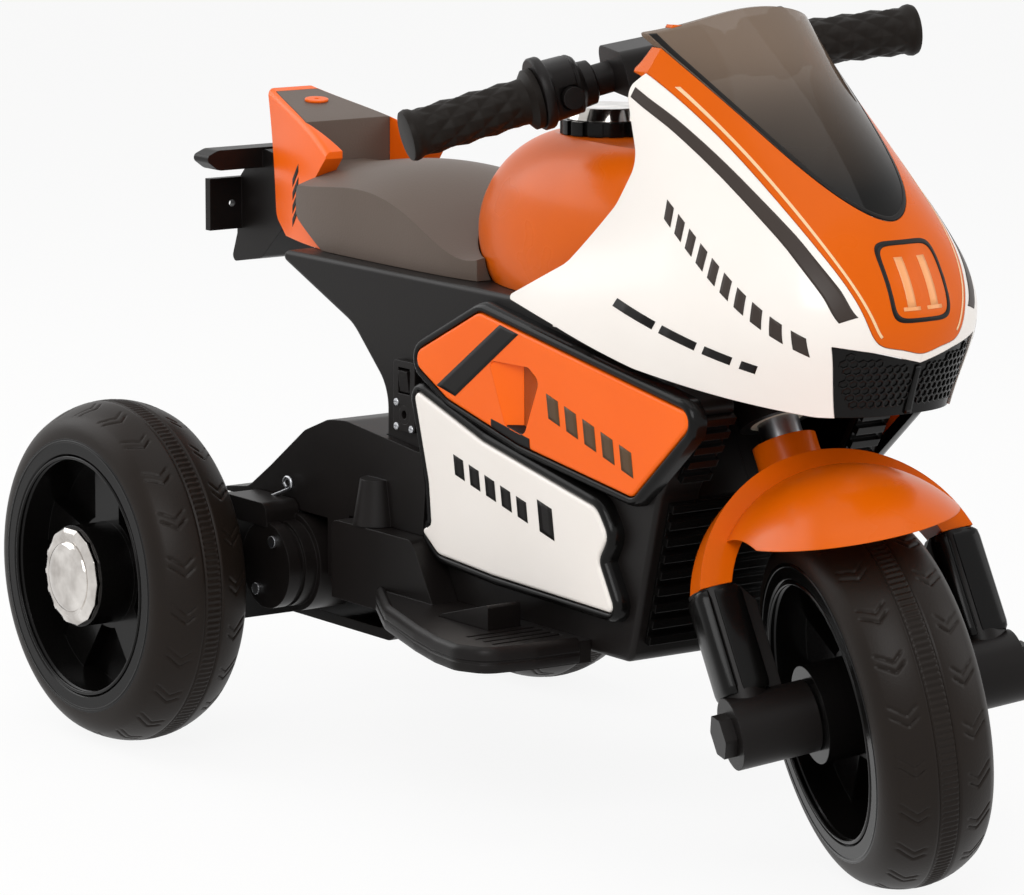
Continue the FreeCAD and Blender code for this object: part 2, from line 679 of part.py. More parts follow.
def rear_bonnet():
    """Hood behind the body with cheeks on the body sides, over the motors and the axle, open below."""
    low = GUARD_TOP + SEAT_GAP
    behind = GUARD_END + SWING_GAP
    front = BODY_REAR + SEAT_GAP + BONNET_T
    rear = BONNET_TOP[-1][0]
    skirt = [(rear, BONNET_LOW), (SKIRT_REAR, BONNET_LOW), (SKIRT_REAR, SKIRT_LOW), (behind, SKIRT_LOW), (behind, low),
             (BONNET_FOOT_Y, low)]
    whole = slab(BONNET_TOP + skirt, side_view(-BONNET_HALF), AXIS_X * (2 * BONNET_HALF))
    for sign in (-1, 1):
        cone = Part.makeCone(CONE_R, CONE_TOP_R, CONE_H, FreeCAD.Vector(sign * BONNET_HALF, CONE_Y, low))
        whole = whole.fuse(cone)
    half = BONNET_HALF - BONNET_T
    under = [(y, z - BONNET_T, r) for y, z, r in BONNET_TOP] + [(rear, 0), (BONNET_TOP[0][0], 0)]
    room = slab(under, side_view(-half), AXIS_X * (2 * half))
    room = room.common(block(-half, half, front, rear - BONNET_T, 0, BODY_REAR + BONNET_TOP[1][1]))
    return biggest(whole.removeSplitter().cut(room).cut(body_room()))


# Body

def body_half(side):
    """One half of the hollow main body, with its head pocket open to the front."""
    face = Part.Face(rounded_wire(BODY_SIDE, side_view(0)))
    outer = face.extrude(AXIS_X * BODY_HALF)
    rim_edges = [e for e in outer.Edges if all(abs(v.X - BODY_HALF) < 1e-6 for v in e.Vertexes)]
    outer = outer.makeFillet(BODY_EDGE / 2, rim_edges)
    inner_face = face.makeOffset2D(-BODY_WALL)
    half = outer.cut(inner_face.extrude(AXIS_X * (BODY_HALF - BODY_WALL)))
    pocket = slab([(POCKET_MOUTH_Y, POCKET_ROOF), (POCKET_MOUTH_Y, POCKET_FLOOR), (POCKET_LOW_Y, POCKET_FLOOR, 6),
                   (POCKET_BACK_Y, HEAD_LOW_Z), (POCKET_BACK_Y, POCKET_ROOF)], side_view(0), AXIS_X * HEAD_POCKET_HALF)
    inside = POCKET_BACK_Y + BODY_WALL
    under = POCKET_FLOOR - BODY_WALL
    back = slab([(POCKET_LOW_Y, under), (POCKET_LOW_Y + BODY_WALL, under), (inside, HEAD_LOW_Z), (inside, SADDLE_Z),
                 (POCKET_BACK_Y, SADDLE_Z), (POCKET_BACK_Y, HEAD_LOW_Z), (POCKET_LOW_Y, POCKET_FLOOR)],
                side_view(0), AXIS_X * HEAD_POCKET_HALF)
    half = half.cut(pocket).fuse(back.common(face.extrude(AXIS_X * BODY_HALF)))
    half = half.cut(rod(on_axis(POCKET_FLOOR), STEER_DIR, HEAD_R + SEAT_GAP, HEAD_TOP_Z))
    half = half.removeSplitter()
    return half if side > 0 else mirrored(half)


def belly_grille():
    """Ribbed front of the body: a comb of level ribs, open round the steering head."""
    low = BODY_SIDE[2]
    knee = BODY_SIDE[1]
    top = BODY_SIDE[0]
    solids = []
    for start, end in ((low, knee), (knee, top)):
        along = FreeCAD.Vector(0, end[0] - start[0], end[1] - start[1])
        out = FreeCAD.Vector(0, -along.z, along.y).normalize()
        count = int((along.Length - 2 * RIB_PITCH) / RIB_PITCH) + 1
        step = along * (RIB_PITCH / along.Length)
        foot = FreeCAD.Vector(-GRILLE_HALF, start[0], start[1]) + step * RIB_START + out * SEAT_GAP
        rib = step * RIB_SHARE
        corners = [foot + step * (count - 1) + rib, foot]
        profile = []
        for i in range(count):
            base = foot + step * i + out * GRILLE_BACK
            profile += [base, base + out * RIB_DEEP, base + out * RIB_DEEP + rib, base + rib]
        wire = Part.makePolygon(corners + profile + corners[:1])
        solids.append(Part.Face(wire).extrude(AXIS_X * (2 * GRILLE_HALF)))
    pocket = block(-HEAD_POCKET_HALF, HEAD_POCKET_HALF, POCKET_MOUTH_Y, 0, POCKET_FLOOR, SADDLE_Z)
    pieces = []
    for solid in solids:
        pieces += solid.cut(pocket).Solids
    return Part.Compound(pieces)


def head_tube():
    """Tube in the body that carries the steering bushes."""
    start = on_axis(HEAD_LOW_Z)
    length = (HEAD_TOP_Z - HEAD_LOW_Z) / math.cos(CASTER)
    tube = rod(start, STEER_DIR, HEAD_R, length)
    return tube.cut(rod(start - STEER_DIR, STEER_DIR, STEM_R + BUSH_T, length + 2))


def head_bushes():
    """Two plain bushes at the ends of the head tube."""
    length = (HEAD_TOP_Z - HEAD_LOW_Z) / math.cos(CASTER)
    rings = []
    for shift in (0, length - BUSH_L):
        start = on_axis(HEAD_LOW_Z) + STEER_DIR * shift
        ring = rod(start, STEER_DIR, STEM_R + BUSH_T, BUSH_L)
        rings.append(ring.cut(rod(start, STEER_DIR, STEM_R + RUN_GAP, BUSH_L)))
    return Part.Compound(rings)


def side_panel(corners, side):
    """Flat moulded panel on one side of the body, with an eased outer edge."""
    panel = slab(corners, side_view(BODY_HALF), AXIS_X * PANEL_T)
    rim_edges = [e for e in panel.Edges if all(v.X > BODY_HALF + PANEL_T - 1e-6 for v in e.Vertexes)]
    panel = panel.makeFillet(PANEL_EDGE, rim_edges)
    return panel if side > 0 else mirrored(panel)


def side_insert(side):
    """Orange panel with its sunk grip recess."""
    panel = side_panel(ORANGE_SIDE, 1)
    recess = slab(RECESS, side_view(BODY_HALF + PANEL_T - RECESS_DEEP), AXIS_X * PANEL_T)
    panel = panel.cut(recess)
    return panel if side > 0 else mirrored(panel)


def lower_panel(side):
    """White panel low on one side of the body."""
    return side_panel(WHITE_SIDE, side)


def crowned_wire(y, half, low, edge, crown):
    """Cross-section with a flat bottom, upright sides and an arched top."""
    corners = [FreeCAD.Vector(x, y, z) for x, z in ((-half, edge), (-half, low), (half, low), (half, edge))]
    sides = [Part.makeLine(a, b) for a, b in zip(corners, corners[1:])]
    arch = Part.Arc(corners[3], FreeCAD.Vector(0, y, crown), corners[0]).toShape()
    return Part.Wire(sides + [arch])


def behind_seat_line():
    """Space behind the joint between saddle and tail, but for the channel that the saddle runs into."""
    line = [(c[0] - SEAT_GAP,) + tuple(c[1:]) for c in TAIL_FRONT]
    corners = line + [(BRACKET_Y, line[-1][1]), (BRACKET_Y, SADDLE_Z), (line[0][0], SADDLE_Z)]
    space = slab(corners, side_view(-HALF_TRACK), AXIS_X * (2 * HALF_TRACK))
    return space.cut(block(-CORE_HALF, CORE_HALF, 0, CORE_FRONT - SEAT_GAP, CORE_LOW, BAR_Z))


def seat():
    """Moulded saddle on the flat top of the body."""
    low = SADDLE_Z + SEAT_GAP
    loft = Part.makeLoft([crowned_wire(y, half, low, edge, crown) for y, half, edge, crown in SEAT_STATIONS], True)
    return biggest(loft.cut(behind_seat_line()).cut(tank_solid(SWING_GAP)))


def tail_solid(grow):
    """Whole tail: tapering sections with sloped sides, within its side view, grown all over."""
    wires = []
    for y, half, top_half, top in TAIL_STATIONS:
        corners = [(-half - grow, SADDLE_Z), (half + grow, SADDLE_Z), (top_half + grow, top + grow, TAIL_ROUND),
                   (-top_half - grow, top + grow, TAIL_ROUND)]
        wires.append(rounded_wire(corners, front_view(y)))
    face = Part.Face(rounded_wire(TAIL_FRONT + TAIL_REAR, side_view(-HALF_TRACK)))
    if grow:
        face = face.makeOffset2D(grow)
    return Part.makeLoft(wires, True).common(face.extrude(AXIS_X * (2 * HALF_TRACK)))


def core_room(grow):
    """Room of the dark core of the tail and of the channel in front of it, seen from above."""
    half = CORE_HALF + grow
    end = CORE_END_HALF + grow
    rear = CORE_REAR + grow
    corners = [(-half, 0), (half, 0), (half, CORE_FRONT), (end, rear), (-end, rear), (-half, CORE_FRONT)]
    return slab(corners, plan_view(CORE_LOW - grow), AXIS_Z * BAR_Z)


def tail_cover():
    """Orange tail cover, open on top for its core and for the end of the saddle."""
    return biggest(tail_solid(0).cut(core_room(SEAT_GAP)))


def tail_insert():
    """Dark core of the tail, behind the saddle."""
    behind = block(-HALF_TRACK, HALF_TRACK, CORE_FRONT, BRACKET_Y, 0, BAR_Z)
    return biggest(tail_solid(0).common(core_room(0)).common(behind))


def plate_bracket():
    """Wing bar, stalk and number plate behind the tail, in one moulding."""
    shoulder = WING_HALF - WING_TIP
    wing = slab([(-WING_HALF, WING_MID, 4), (-shoulder, WING_LOW, 8), (shoulder, WING_LOW, 8), (WING_HALF, WING_MID, 4),
                 (shoulder, WING_TOP, 8), (-shoulder, WING_TOP, 8)], front_view(WING_Y), AXIS_Y * WING_L)
    stalk = slab(STALK_SIDE, side_view(-STALK_HALF), AXIS_X * (2 * STALK_HALF))
    plate = block(-PLATE_HALF, PLATE_HALF, BRACKET_Y - PLATE_T, BRACKET_Y, PLATE_MID - PLATE_H / 2,
                  PLATE_MID + PLATE_H / 2)
    whole = fused(wing, stalk, plate).cut(tail_solid(SEAT_GAP))
    for sign in (-1, 1):
        start = FreeCAD.Vector(sign * PLATE_HOLE_SPAN / 2, WING_Y, PLATE_MID)
        whole = whole.cut(rod(start, AXIS_Y, PLATE_HOLE_R, BRACKET_Y))
    return biggest(whole)


def tank_solid(grow):
    """Bullet-shaped tank, square in front and round behind, grown or shrunk all over."""
    wires = []
    turns = [math.radians(a) for a in range(-90, 91, 15)]
    for z, half, front, rear in TANK_STATIONS:
        start = front - grow
        reach = rear + grow - start
        points = [FreeCAD.Vector((half + grow) * math.copysign(abs(math.sin(t)) ** TANK_FULL, t),
                                 start + reach * max(math.cos(t), 0.0) ** TANK_FULL, z) for t in turns]
        wires.append(smooth_wire(points))
    loft = Part.makeLoft(wires, True)
    loft.translate(FreeCAD.Vector(0, 0, min(grow, 0)))
    return loft


def tank_cover():
    """Hollow tank cover standing on the body, open below."""
    cover = tank_solid(0).cut(tank_solid(-TANK_WALL))
    cover = cover.cut(block(-HALF_TRACK, HALF_TRACK, -BRACKET_Y, BRACKET_Y, 0, SADDLE_Z + SEAT_GAP))
    return cover.cut(rod(on_axis(HEAD_LOW_Z), STEER_DIR, HEAD_R + SEAT_GAP, HEAD_TOP_Z))


def cap_ring():
    """Notched black ring of the filler cap, on top of the tank."""
    z = TANK_STATIONS[-1][0] + SEAT_GAP
    middle = FreeCAD.Vector(0, FILLER_Y, z)
    ring = Part.makeCylinder(FILLER_R, FILLER_T, middle)
    for i in range(NOTCHES):
        notch = block(FILLER_R - NOTCH_DEEP, FILLER_R + NOTCH_DEEP, FILLER_Y - NOTCH_W / 2, FILLER_Y + NOTCH_W / 2,
                      z - 1, z + FILLER_T + 1)
        notch.rotate(middle, AXIS_Z, 360 * i / NOTCHES)
        ring = ring.cut(notch)
    return ring


def filler_cap():
    """Bright domed cap inside the notched ring."""
    z = TANK_STATIONS[-1][0] + 2 * SEAT_GAP + FILLER_T
    low_r = FILLER_R - NOTCH_DEEP - SWING_GAP
    return Part.makeCone(low_r, low_r - NOTCH_DEEP, CAP_DOME, FreeCAD.Vector(0, FILLER_Y, z))


# Fairing

def nose_solid(inset):
    """Nose of the bike through its level sections, moved inwards by an inset."""
    wires = []
    for z, shares in FAIRING:
        half = [(share * FAIRING_HALF, y) for share, y in shares]
        loop = [(-x, y) for x, y in reversed(half[1:])] + half
        points = []
        for i, (x, y) in enumerate(loop):
            ahead = loop[min(i + 1, len(loop) - 1)]
            before = loop[max(i - 1, 0)]
            run = FreeCAD.Vector(ahead[0] - before[0], ahead[1] - before[1], 0).normalize()
            points.append(FreeCAD.Vector(x - run.y * inset, y + run.x * inset, z))
        wires.append(smooth_wire(points))
    return Part.makeLoft(wires, True)


def front_prism(half, grow):
    """Space in front of a symmetric outline given by its right half from the middle, grown all round."""
    side = [(x + grow, z - grow) for x, z in half[1:]]
    middle = [(0, half[0][1] - grow)]
    points = [FreeCAD.Vector(-x, NOSE_BACK, z) for x, z in reversed(side)]
    points += [FreeCAD.Vector(x, NOSE_BACK, z) for x, z in middle + side]
    return points


def nose_prism(grow):
    """Field of the orange nose panel, seen from the front."""
    return Part.Face(smooth_wire(front_prism(NOSE_EDGE, grow))).extrude(AXIS_Y * NOSE_REACH)


def screen_prism(grow):
    """Field of the windscreen, seen from the front."""
    points = front_prism(SCREEN_EDGE, grow)
    curve = Part.BSplineCurve()
    curve.interpolate(points)
    arch = Part.Arc(points[-1], FreeCAD.Vector(0, NOSE_BACK, SCREEN_TOP + grow), points[0])
    return Part.Face(Part.Wire([curve.toShape(), arch.toShape()])).extrude(AXIS_Y * NOSE_REACH)


def lamp_prism(grow):
    """Field of the lamp grille, seen from the front."""
    corners = [(p.x, p.z) for p in front_prism(LAMP_EDGE, 0)]
    wire = Part.makePolygon([FreeCAD.Vector(x, NOSE_BACK, z) for x, z in corners + corners[:1]])
    face = Part.Face(wire)
    if grow:
        face = face.makeOffset2D(grow)
    return face.extrude(AXIS_Y * NOSE_REACH)


def fairing_half(side):
    """One white half of the nose fairing, with the pad that seats on the body side."""
    shell = nose_solid(0).cut(nose_solid(FAIRING_T))
    space = slab(FAIRING_SIDE, side_view(0), AXIS_X * HALF_TRACK)
    half = shell.common(space).cut(nose_prism(SEAT_GAP)).cut(lamp_prism(SEAT_GAP))
    pad = block(BODY_HALF + SEAT_GAP, HALF_TRACK, FAIRING_PAD_Y, FAIRING_PAD_Y + PAD_L, PAD_LOW, PAD_LOW + PAD_H)
    half = half.fuse(pad.common(nose_solid(FAIRING_T / 2)))
    half = biggest(half)
    return half if side > 0 else mirrored(half)


def ahead_of_bar():
    """Space in front of the handlebar's sweep."""
    return slab(NOSE_REAR, side_view(-HALF_TRACK), AXIS_X * (2 * HALF_TRACK))


def nose_panel():
    """Orange panel down the middle of the nose, round the windscreen."""
    shell = nose_solid(0).cut(nose_solid(FAIRING_T)).common(nose_prism(0)).cut(screen_prism(SEAT_GAP))
    shell = shell.cut(screen_prism(0)).common(ahead_of_bar())
    top = SCREEN_TOP - NOSE_SHORT
    return biggest(shell.common(block(-HALF_TRACK, HALF_TRACK, NOSE_BACK, 0, 0, top)))


def windscreen():
    """Smoked screen in the upper nose."""
    return biggest(nose_solid(0).cut(nose_solid(SCREEN_T)).common(screen_prism(0)).common(ahead_of_bar()))


def lamp_grille():
    """Black lamp insert, sunk a little below the fairing."""
    return nose_solid(LAMP_SUNK).cut(nose_solid(LAMP_SUNK + LAMP_T)).common(lamp_prism(0))


# Footrests and pedal

def footrest(side):
    """Footboard on one side of the body, with a heel guard behind, grooves in front and a well for the pedal."""
    edge = BODY_HALF + SEAT_GAP
    low = FOOT_TOP - FOOT_T
    board = slab([(edge + x, y, r) for x, y, r in FOOT_PLAN], plan_view(low), AXIS_Z * FOOT_T)
    guard = slab([(GUARD_Y, FOOT_TOP - GROOVE_DEEP), (GUARD_Y + GUARD_RAMP, GUARD_TOP, 10), (GUARD_END, GUARD_TOP, 6),
                  (GUARD_END, low), (GUARD_Y, low)], side_view(edge), AXIS_X * GUARD_W)
    whole = fused(board, guard)
    front = PEDAL_REAR_Y - PEDAL_L - SWING_GAP
    for i in range(GROOVES):
        y = front - (i + 1) * GROOVE_PITCH
        start = edge + GROOVE_IN
        whole = whole.cut(block(start, start + GROOVE_L, y, y + GROOVE_W, FOOT_TOP - GROOVE_DEEP, BODY_FLOOR + FOOT_T))
    if side > 0:
        return whole
    well = block(PEDAL_IN - SWING_GAP, PEDAL_IN + PEDAL_W + SWING_GAP, front, PEDAL_REAR_Y + PEDAL_HEEL + SWING_GAP,
                 FOOT_TOP - PEDAL_WELL, GUARD_TOP)
    return mirrored(whole.cut(well).cut(pin_rod(PIVOT_R)))


def pin_rod(radius):
    """Rod on the pedal's pivot line, let into the footboard on both sides of the well."""
    reach = SWING_GAP + PIN_REACH
    return across(radius, PEDAL_IN - reach, PEDAL_IN + PEDAL_W + reach, PEDAL_REAR_Y, PIVOT_Z)


def pedal_pin():
    """Pin of the pedal, fixed in the footboard."""
    return mirrored(pin_rod(PIVOT_R))


def foot_pedal():
    """Wedge-shaped pedal hinged at its rear, free to sink into the well at its front."""
    front = PEDAL_REAR_Y - PEDAL_L
    heel = PEDAL_REAR_Y + PEDAL_HEEL
    low = PIVOT_Z - PEDAL_HEEL
    corners = [(heel, low, 4), (heel, PIVOT_Z + PEDAL_HEEL, 4), (front, FOOT_TOP + PEDAL_H, 2),
               (front, FOOT_TOP - PEDAL_LIP, 1), (PEDAL_REAR_Y - 2 * PEDAL_HEEL, low + 2 * PEDAL_LIP, 3)]
    wedge = slab(corners, side_view(PEDAL_IN), AXIS_X * PEDAL_W)
    return mirrored(wedge.cut(pin_rod(PIVOT_R + RUN_GAP)))


# Steering group

def fork_view(a, b):
    """Places a point of the fork's own plane: a across, b up along the legs from the axle."""
    return FRONT_AXLE + AXIS_X * a + STEER_DIR * b


def crown_arch(half, top):
    """Round arch in the fork's plane, from foot to foot."""
    return Part.Arc(fork_view(-half, CROWN_FOOT), fork_view(0, top), fork_view(half, CROWN_FOOT)).toShape()


def fork_crown():
    """Arched crown over the front wheel with the hub that takes the column."""
    inner = CROWN_HALF - CROWN_T
    feet = [Part.makeLine(fork_view(s * inner, CROWN_FOOT), fork_view(s * CROWN_HALF, CROWN_FOOT)) for s in (-1, 1)]
    arches = [crown_arch(CROWN_HALF, CROWN_TOP), crown_arch(inner, CROWN_TOP - CROWN_T)]
    arch = Part.Face(Part.Wire(Part.__sortEdges__(arches + feet))).extrude(STEER_FORE * CROWN_BAND)
    arch.translate(STEER_FORE * (-CROWN_BAND / 2))
    start = fork_view(0, CROWN_TOP - CROWN_T) - STEER_FORE * FORK_OFFSET
    hub = rod(start, STEER_DIR, CROWN_HUB_R, CROWN_T + CROWN_HUB_H)
    return fused(arch, hub).cut(rod(start, STEER_DIR, STEM_R, BAR_Z))


def fork_leg(side):
    """Fork leg with its web and the boss for the front axle."""
    top = CROWN_FOOT - SEAT_GAP
    leg = rod(fork_view(side * LEG_S, 0), STEER_DIR, LEG_R, top)
    boss = rod(fork_view(side * BOSS_IN, 0), AXIS_X * side, BOSS_R, BOSS_OUT - BOSS_IN)
    corners = [(WEB_IN, 0), (WEB_IN, top - WEB_DROP), (WEB_IN + WEB_LEAN, top), (LEG_S, top), (LEG_S, 0)]
    web = slab([(side * a, b) for a, b in corners], fork_view, STEER_FORE * WEB_T)
    web.translate(STEER_FORE * (-WEB_T / 2))
    return fused(leg, boss, web).cut(rod(fork_view(0, 0), AXIS_X * side, AXLE_R, BOSS_OUT + 1))


def fender():
    """Domed mudguard in front of the crown, with a nearly level rim."""
    solids = []
    for grow in (0, -FENDER_T):
        rims = [FreeCAD.Vector(s * (FENDER_HALF + grow), FRONT_AXLE.y, WHEEL_R + FENDER_EDGE_R) for s in (-1, 1)]
        peak = FreeCAD.Vector(0, FRONT_AXLE.y, WHEEL_R + FENDER_R + grow)
        arch = Part.Arc(rims[0], peak, rims[1]).toShape()
        face = Part.Face(Part.Wire([arch, Part.makeLine(rims[1], rims[0])]))
        face.rotate(FRONT_AXLE, AXIS_X, FENDER_FRONT_DEG)
        solids.append(face.revolve(FRONT_AXLE, AXIS_X, -FENDER_FRONT_DEG - FENDER_REAR_DEG))
    field = [(-HALF_TRACK, 0), (HALF_TRACK, 0), (HALF_TRACK, BAR_Z), (-HALF_TRACK, BAR_Z)]
    behind = slab(field, fork_view, STEER_FORE * -WHEEL_R)
    behind.translate(STEER_FORE * (CROWN_BAND / 2 + SEAT_GAP))
    slope = math.tan(math.radians(FENDER_RIM_DEG))
    seat_y = fork_view(0, CROWN_TOP).y + STEER_FORE.y * CROWN_BAND / 2
    rim_line = [(seat_y - run, FENDER_RIM_Z + run * slope) for run in (-WHEEL_R, 2 * WHEEL_R)]
    below = slab(rim_line + [(rim_line[1][0], 0), (rim_line[0][0], 0)], side_view(-HALF_TRACK), AXIS_X * (2 * HALF_TRACK))
    return biggest(solids[0].cut(solids[1]).cut(behind).cut(below))


def front_axle():
    """Bolt through the front wheel and both fork bosses."""
    return rod(fork_view(-BOSS_OUT, 0), AXIS_X, AXLE_R, 2 * BOSS_OUT)


def bolt_cap(side):
    """Hexagon cap on one end of the front axle."""
    turns = [math.pi * i / 3 for i in range(6)]
    corners = [(FRONT_AXLE.y + BOLT_CAP_R * math.cos(t), WHEEL_R + BOLT_CAP_R * math.sin(t), 2) for t in turns]
    return slab(corners, side_view(side * BOSS_OUT), AXIS_X * (side * BOLT_CAP_T))


def steering_stem():
    """Steel column from the crown up into the handlebar clamp."""
    start = fork_view(0, CROWN_TOP - CROWN_T) - STEER_FORE * FORK_OFFSET
    return rod(start, STEER_DIR, STEM_R, on_axis(BAR_Z + STEM_PROUD).distanceToPoint(start))


def bar_clamp():
    """Block that joins the column to the handlebar."""
    low = BAR_Z - CLAMP_LOW
    top = BAR_Z + CLAMP_HIGH
    front = on_axis(low).y - STEM_R - CLAMP_WALL
    rear = BAR_MID.y + BAR_R + CLAMP_WALL
    body = slab([(front, low, 4), (rear, low, 6), (rear, top, 8), (front + CLAMP_LEAN, top, 8)], side_view(-CLAMP_HALF),
                AXIS_X * (2 * CLAMP_HALF))
    return body.cut(steering_stem()).cut(handlebar())


def along_bar(shape, side):
    """Moves a piece that was built along X at the origin onto one arm of the handlebar."""
    shape = shape.copy()
    shape.rotate(FreeCAD.Vector(0, 0, 0), AXIS_Y, BAR_DROOP_DEG)
    shape.translate(BAR_MID)
    return shape if side > 0 else mirrored(shape)


def handlebar():
    """Bar of two arms that droop a little outwards."""
    arm = across(BAR_R, 0, BAR_REACH, 0, 0)
    ball = Part.makeSphere(BAR_R, BAR_MID)
    return fused(along_bar(arm, 1), along_bar(arm, -1), ball).cut(steering_stem())


def grip(side):
    """Hand grip with a collar, closed at its end."""
    end = BAR_REACH + GRIP_END
    collar = GRIP_R + GRIP_COLLAR
    waist = GRIP_R - GRIP_BEAD / 2
    profile = [(GRIP_IN, 0), (GRIP_IN, collar), (GRIP_IN + GRIP_COLLAR, collar), (GRIP_IN + 2 * GRIP_COLLAR, waist),
               (end - GRIP_SWELL, GRIP_R), (end - 3 * GRIP_BEAD, GRIP_R), (end - 2 * GRIP_BEAD, GRIP_R + GRIP_BEAD),
               (end, waist), (end, 0)]
    solid = lathe(profile, 0, 0)
    return along_bar(solid.cut(across(BAR_R, 0, BAR_REACH, 0, 0)), side)


def control_housing(side):
    """Switch housing beside the grip, with a round well for its button."""
    half = CONTROL_D / 2
    end = GRIP_IN - SEAT_GAP
    low = CONTROL_TOP - CONTROL_H
    corners = [(-half, low + CONTROL_LEAN, 6), (half, low, 10), (half, CONTROL_TOP - CONTROL_CUT, 6),
               (half - CONTROL_CUT, CONTROL_TOP, 6), (-half, CONTROL_TOP, 8)]
    body = slab(corners, side_view(CONTROL_IN), AXIS_X * (end - CONTROL_IN))
    body = body.cut(across(BAR_R, 0, BAR_REACH, 0, 0))
    mouth = FreeCAD.Vector(BUTTON_S, -half - 1, BUTTON_Z)
    body = body.cut(rod(mouth, AXIS_Y, BUTTON_R + RUN_GAP, BUTTON_SINK + BUTTON_TRAVEL + 2 * SWING_GAP))
    return along_bar(body, side)


def button(side):
    """Round push button in the well of a switch housing."""
    start = FreeCAD.Vector(BUTTON_S, BUTTON_SINK - CONTROL_D / 2, BUTTON_Z)
    return along_bar(rod(start, AXIS_Y * -1, BUTTON_R, BUTTON_SINK + BUTTON_H), side)


# Electrics

def battery():
    """Sealed battery on the floor of the body."""
    z = BODY_FLOOR + BODY_WALL + SEAT_GAP
    return block(-BATTERY[0] / 2, BATTERY[0] / 2, BATTERY_Y, BATTERY_Y + BATTERY[1], z, z + BATTERY[2])


def control_board():
    """Circuit board on the battery."""
    z = BODY_FLOOR + BODY_WALL + 2 * SEAT_GAP + BATTERY[2]
    board = block(-BOARD[0] / 2, BOARD[0] / 2, BATTERY_Y, BATTERY_Y + BOARD[1], z, z + BOARD[2])
    start = BATTERY_Y + RELAY_OFF
    relay = block(-RELAY[0] / 2, RELAY[0] / 2, start, start + RELAY[1], z + BOARD[2] / 2, z + BOARD[2] + RELAY[2])
    return fused(board, relay)


def speaker():
    """Speaker behind the left side wall."""
    x = BODY_HALF - BODY_WALL - SEAT_GAP
    return Part.makeCone(SPEAKER_R, SPEAKER_R / 2, SPEAKER_T, FreeCAD.Vector(x, SPEAKER_Y, SPEAKER_Z), AXIS_X * -1)


def port_plate():
    """Plate on the right side of the body with the charging socket and the power switch."""
    edge = BODY_HALF + SEAT_GAP
    half = PORT_W / 2
    plate = slab([(PORT_Y - half, PORT_Z - PORT_H / 2, 3), (PORT_Y + half, PORT_Z - PORT_H / 2, 3),
                  (PORT_Y + half, PORT_Z + PORT_H / 2, 3), (PORT_Y - half, PORT_Z + PORT_H / 2, 3)],
                 side_view(edge), AXIS_X * PORT_T)
    plate = plate.cut(across(JACK_BODY_R, 0, HALF_TRACK, PORT_Y, JACK_Z))
    half_w = ROCKER_W / 2 + ROCKER_GAP
    half_h = ROCKER_H / 2 + ROCKER_GAP
    plate = plate.cut(block(0, HALF_TRACK, PORT_Y - half_w, PORT_Y + half_w, ROCKER_Z - half_h, ROCKER_Z + half_h))
    pin = rod(FreeCAD.Vector(edge + PORT_T / 2, PORT_Y - half + 1, ROCKER_Z), AXIS_Y, PIN_R + RUN_GAP, PORT_W - 2)
    return mirrored(plate.cut(pin))


def charge_socket():
    """Round socket for the charger plug, in the port plate."""
    face = BODY_HALF + SEAT_GAP + PORT_T
    tube = across(JACK_BODY_R, face - JACK_L - JACK_END, face, PORT_Y, JACK_Z)
    return mirrored(tube.cut(across(JACK_R, face - JACK_L, face + 1, PORT_Y, JACK_Z)))


def power_rocker():
    """Rocker of the power switch, resting tilted, on a pin in the plate."""
    x = BODY_HALF + SEAT_GAP + PORT_T / 2
    body = block(x - ROCKER_T / 2, x + ROCKER_T / 2, PORT_Y - ROCKER_W / 2, PORT_Y + ROCKER_W / 2,
                 ROCKER_Z - ROCKER_H / 2, ROCKER_Z + ROCKER_H / 2)
    pin = rod(FreeCAD.Vector(x, PORT_Y - PORT_W / 2 + 2, ROCKER_Z), AXIS_Y, PIN_R, PORT_W - 4)
    whole = fused(body, pin)
    whole.rotate(FreeCAD.Vector(x, PORT_Y, ROCKER_Z), AXIS_Y, ROCKER_DEG / 2)
    return mirrored(whole)


def socket_hole(half):
    """Clears the right body wall behind the port plate."""
    half_w = PORT_W / 2 - PORT_RIM
    half_h = PORT_H / 2 - PORT_RIM
    return half.cut(block(-HALF_TRACK, 0, PORT_Y - half_w, PORT_Y + half_w, PORT_Z - half_h, PORT_Z + half_h))


def gearbox_screws():
    """Screw heads on the end caps of the gearboxes."""
    face = GEARBOX_IN + GEARBOX_W + END_CAP_T
    heads = []
    for turn in SCREW_TURNS:
        y = MOTOR_Y + SCREW_RING * math.cos(math.radians(turn))
        z = MOTOR_Z + SCREW_RING * math.sin(math.radians(turn))
        head = across(SCREW_R, face, face + SCREW_T, y, z)
        heads += [head, mirrored(head)]
    return Part.Compound(heads)


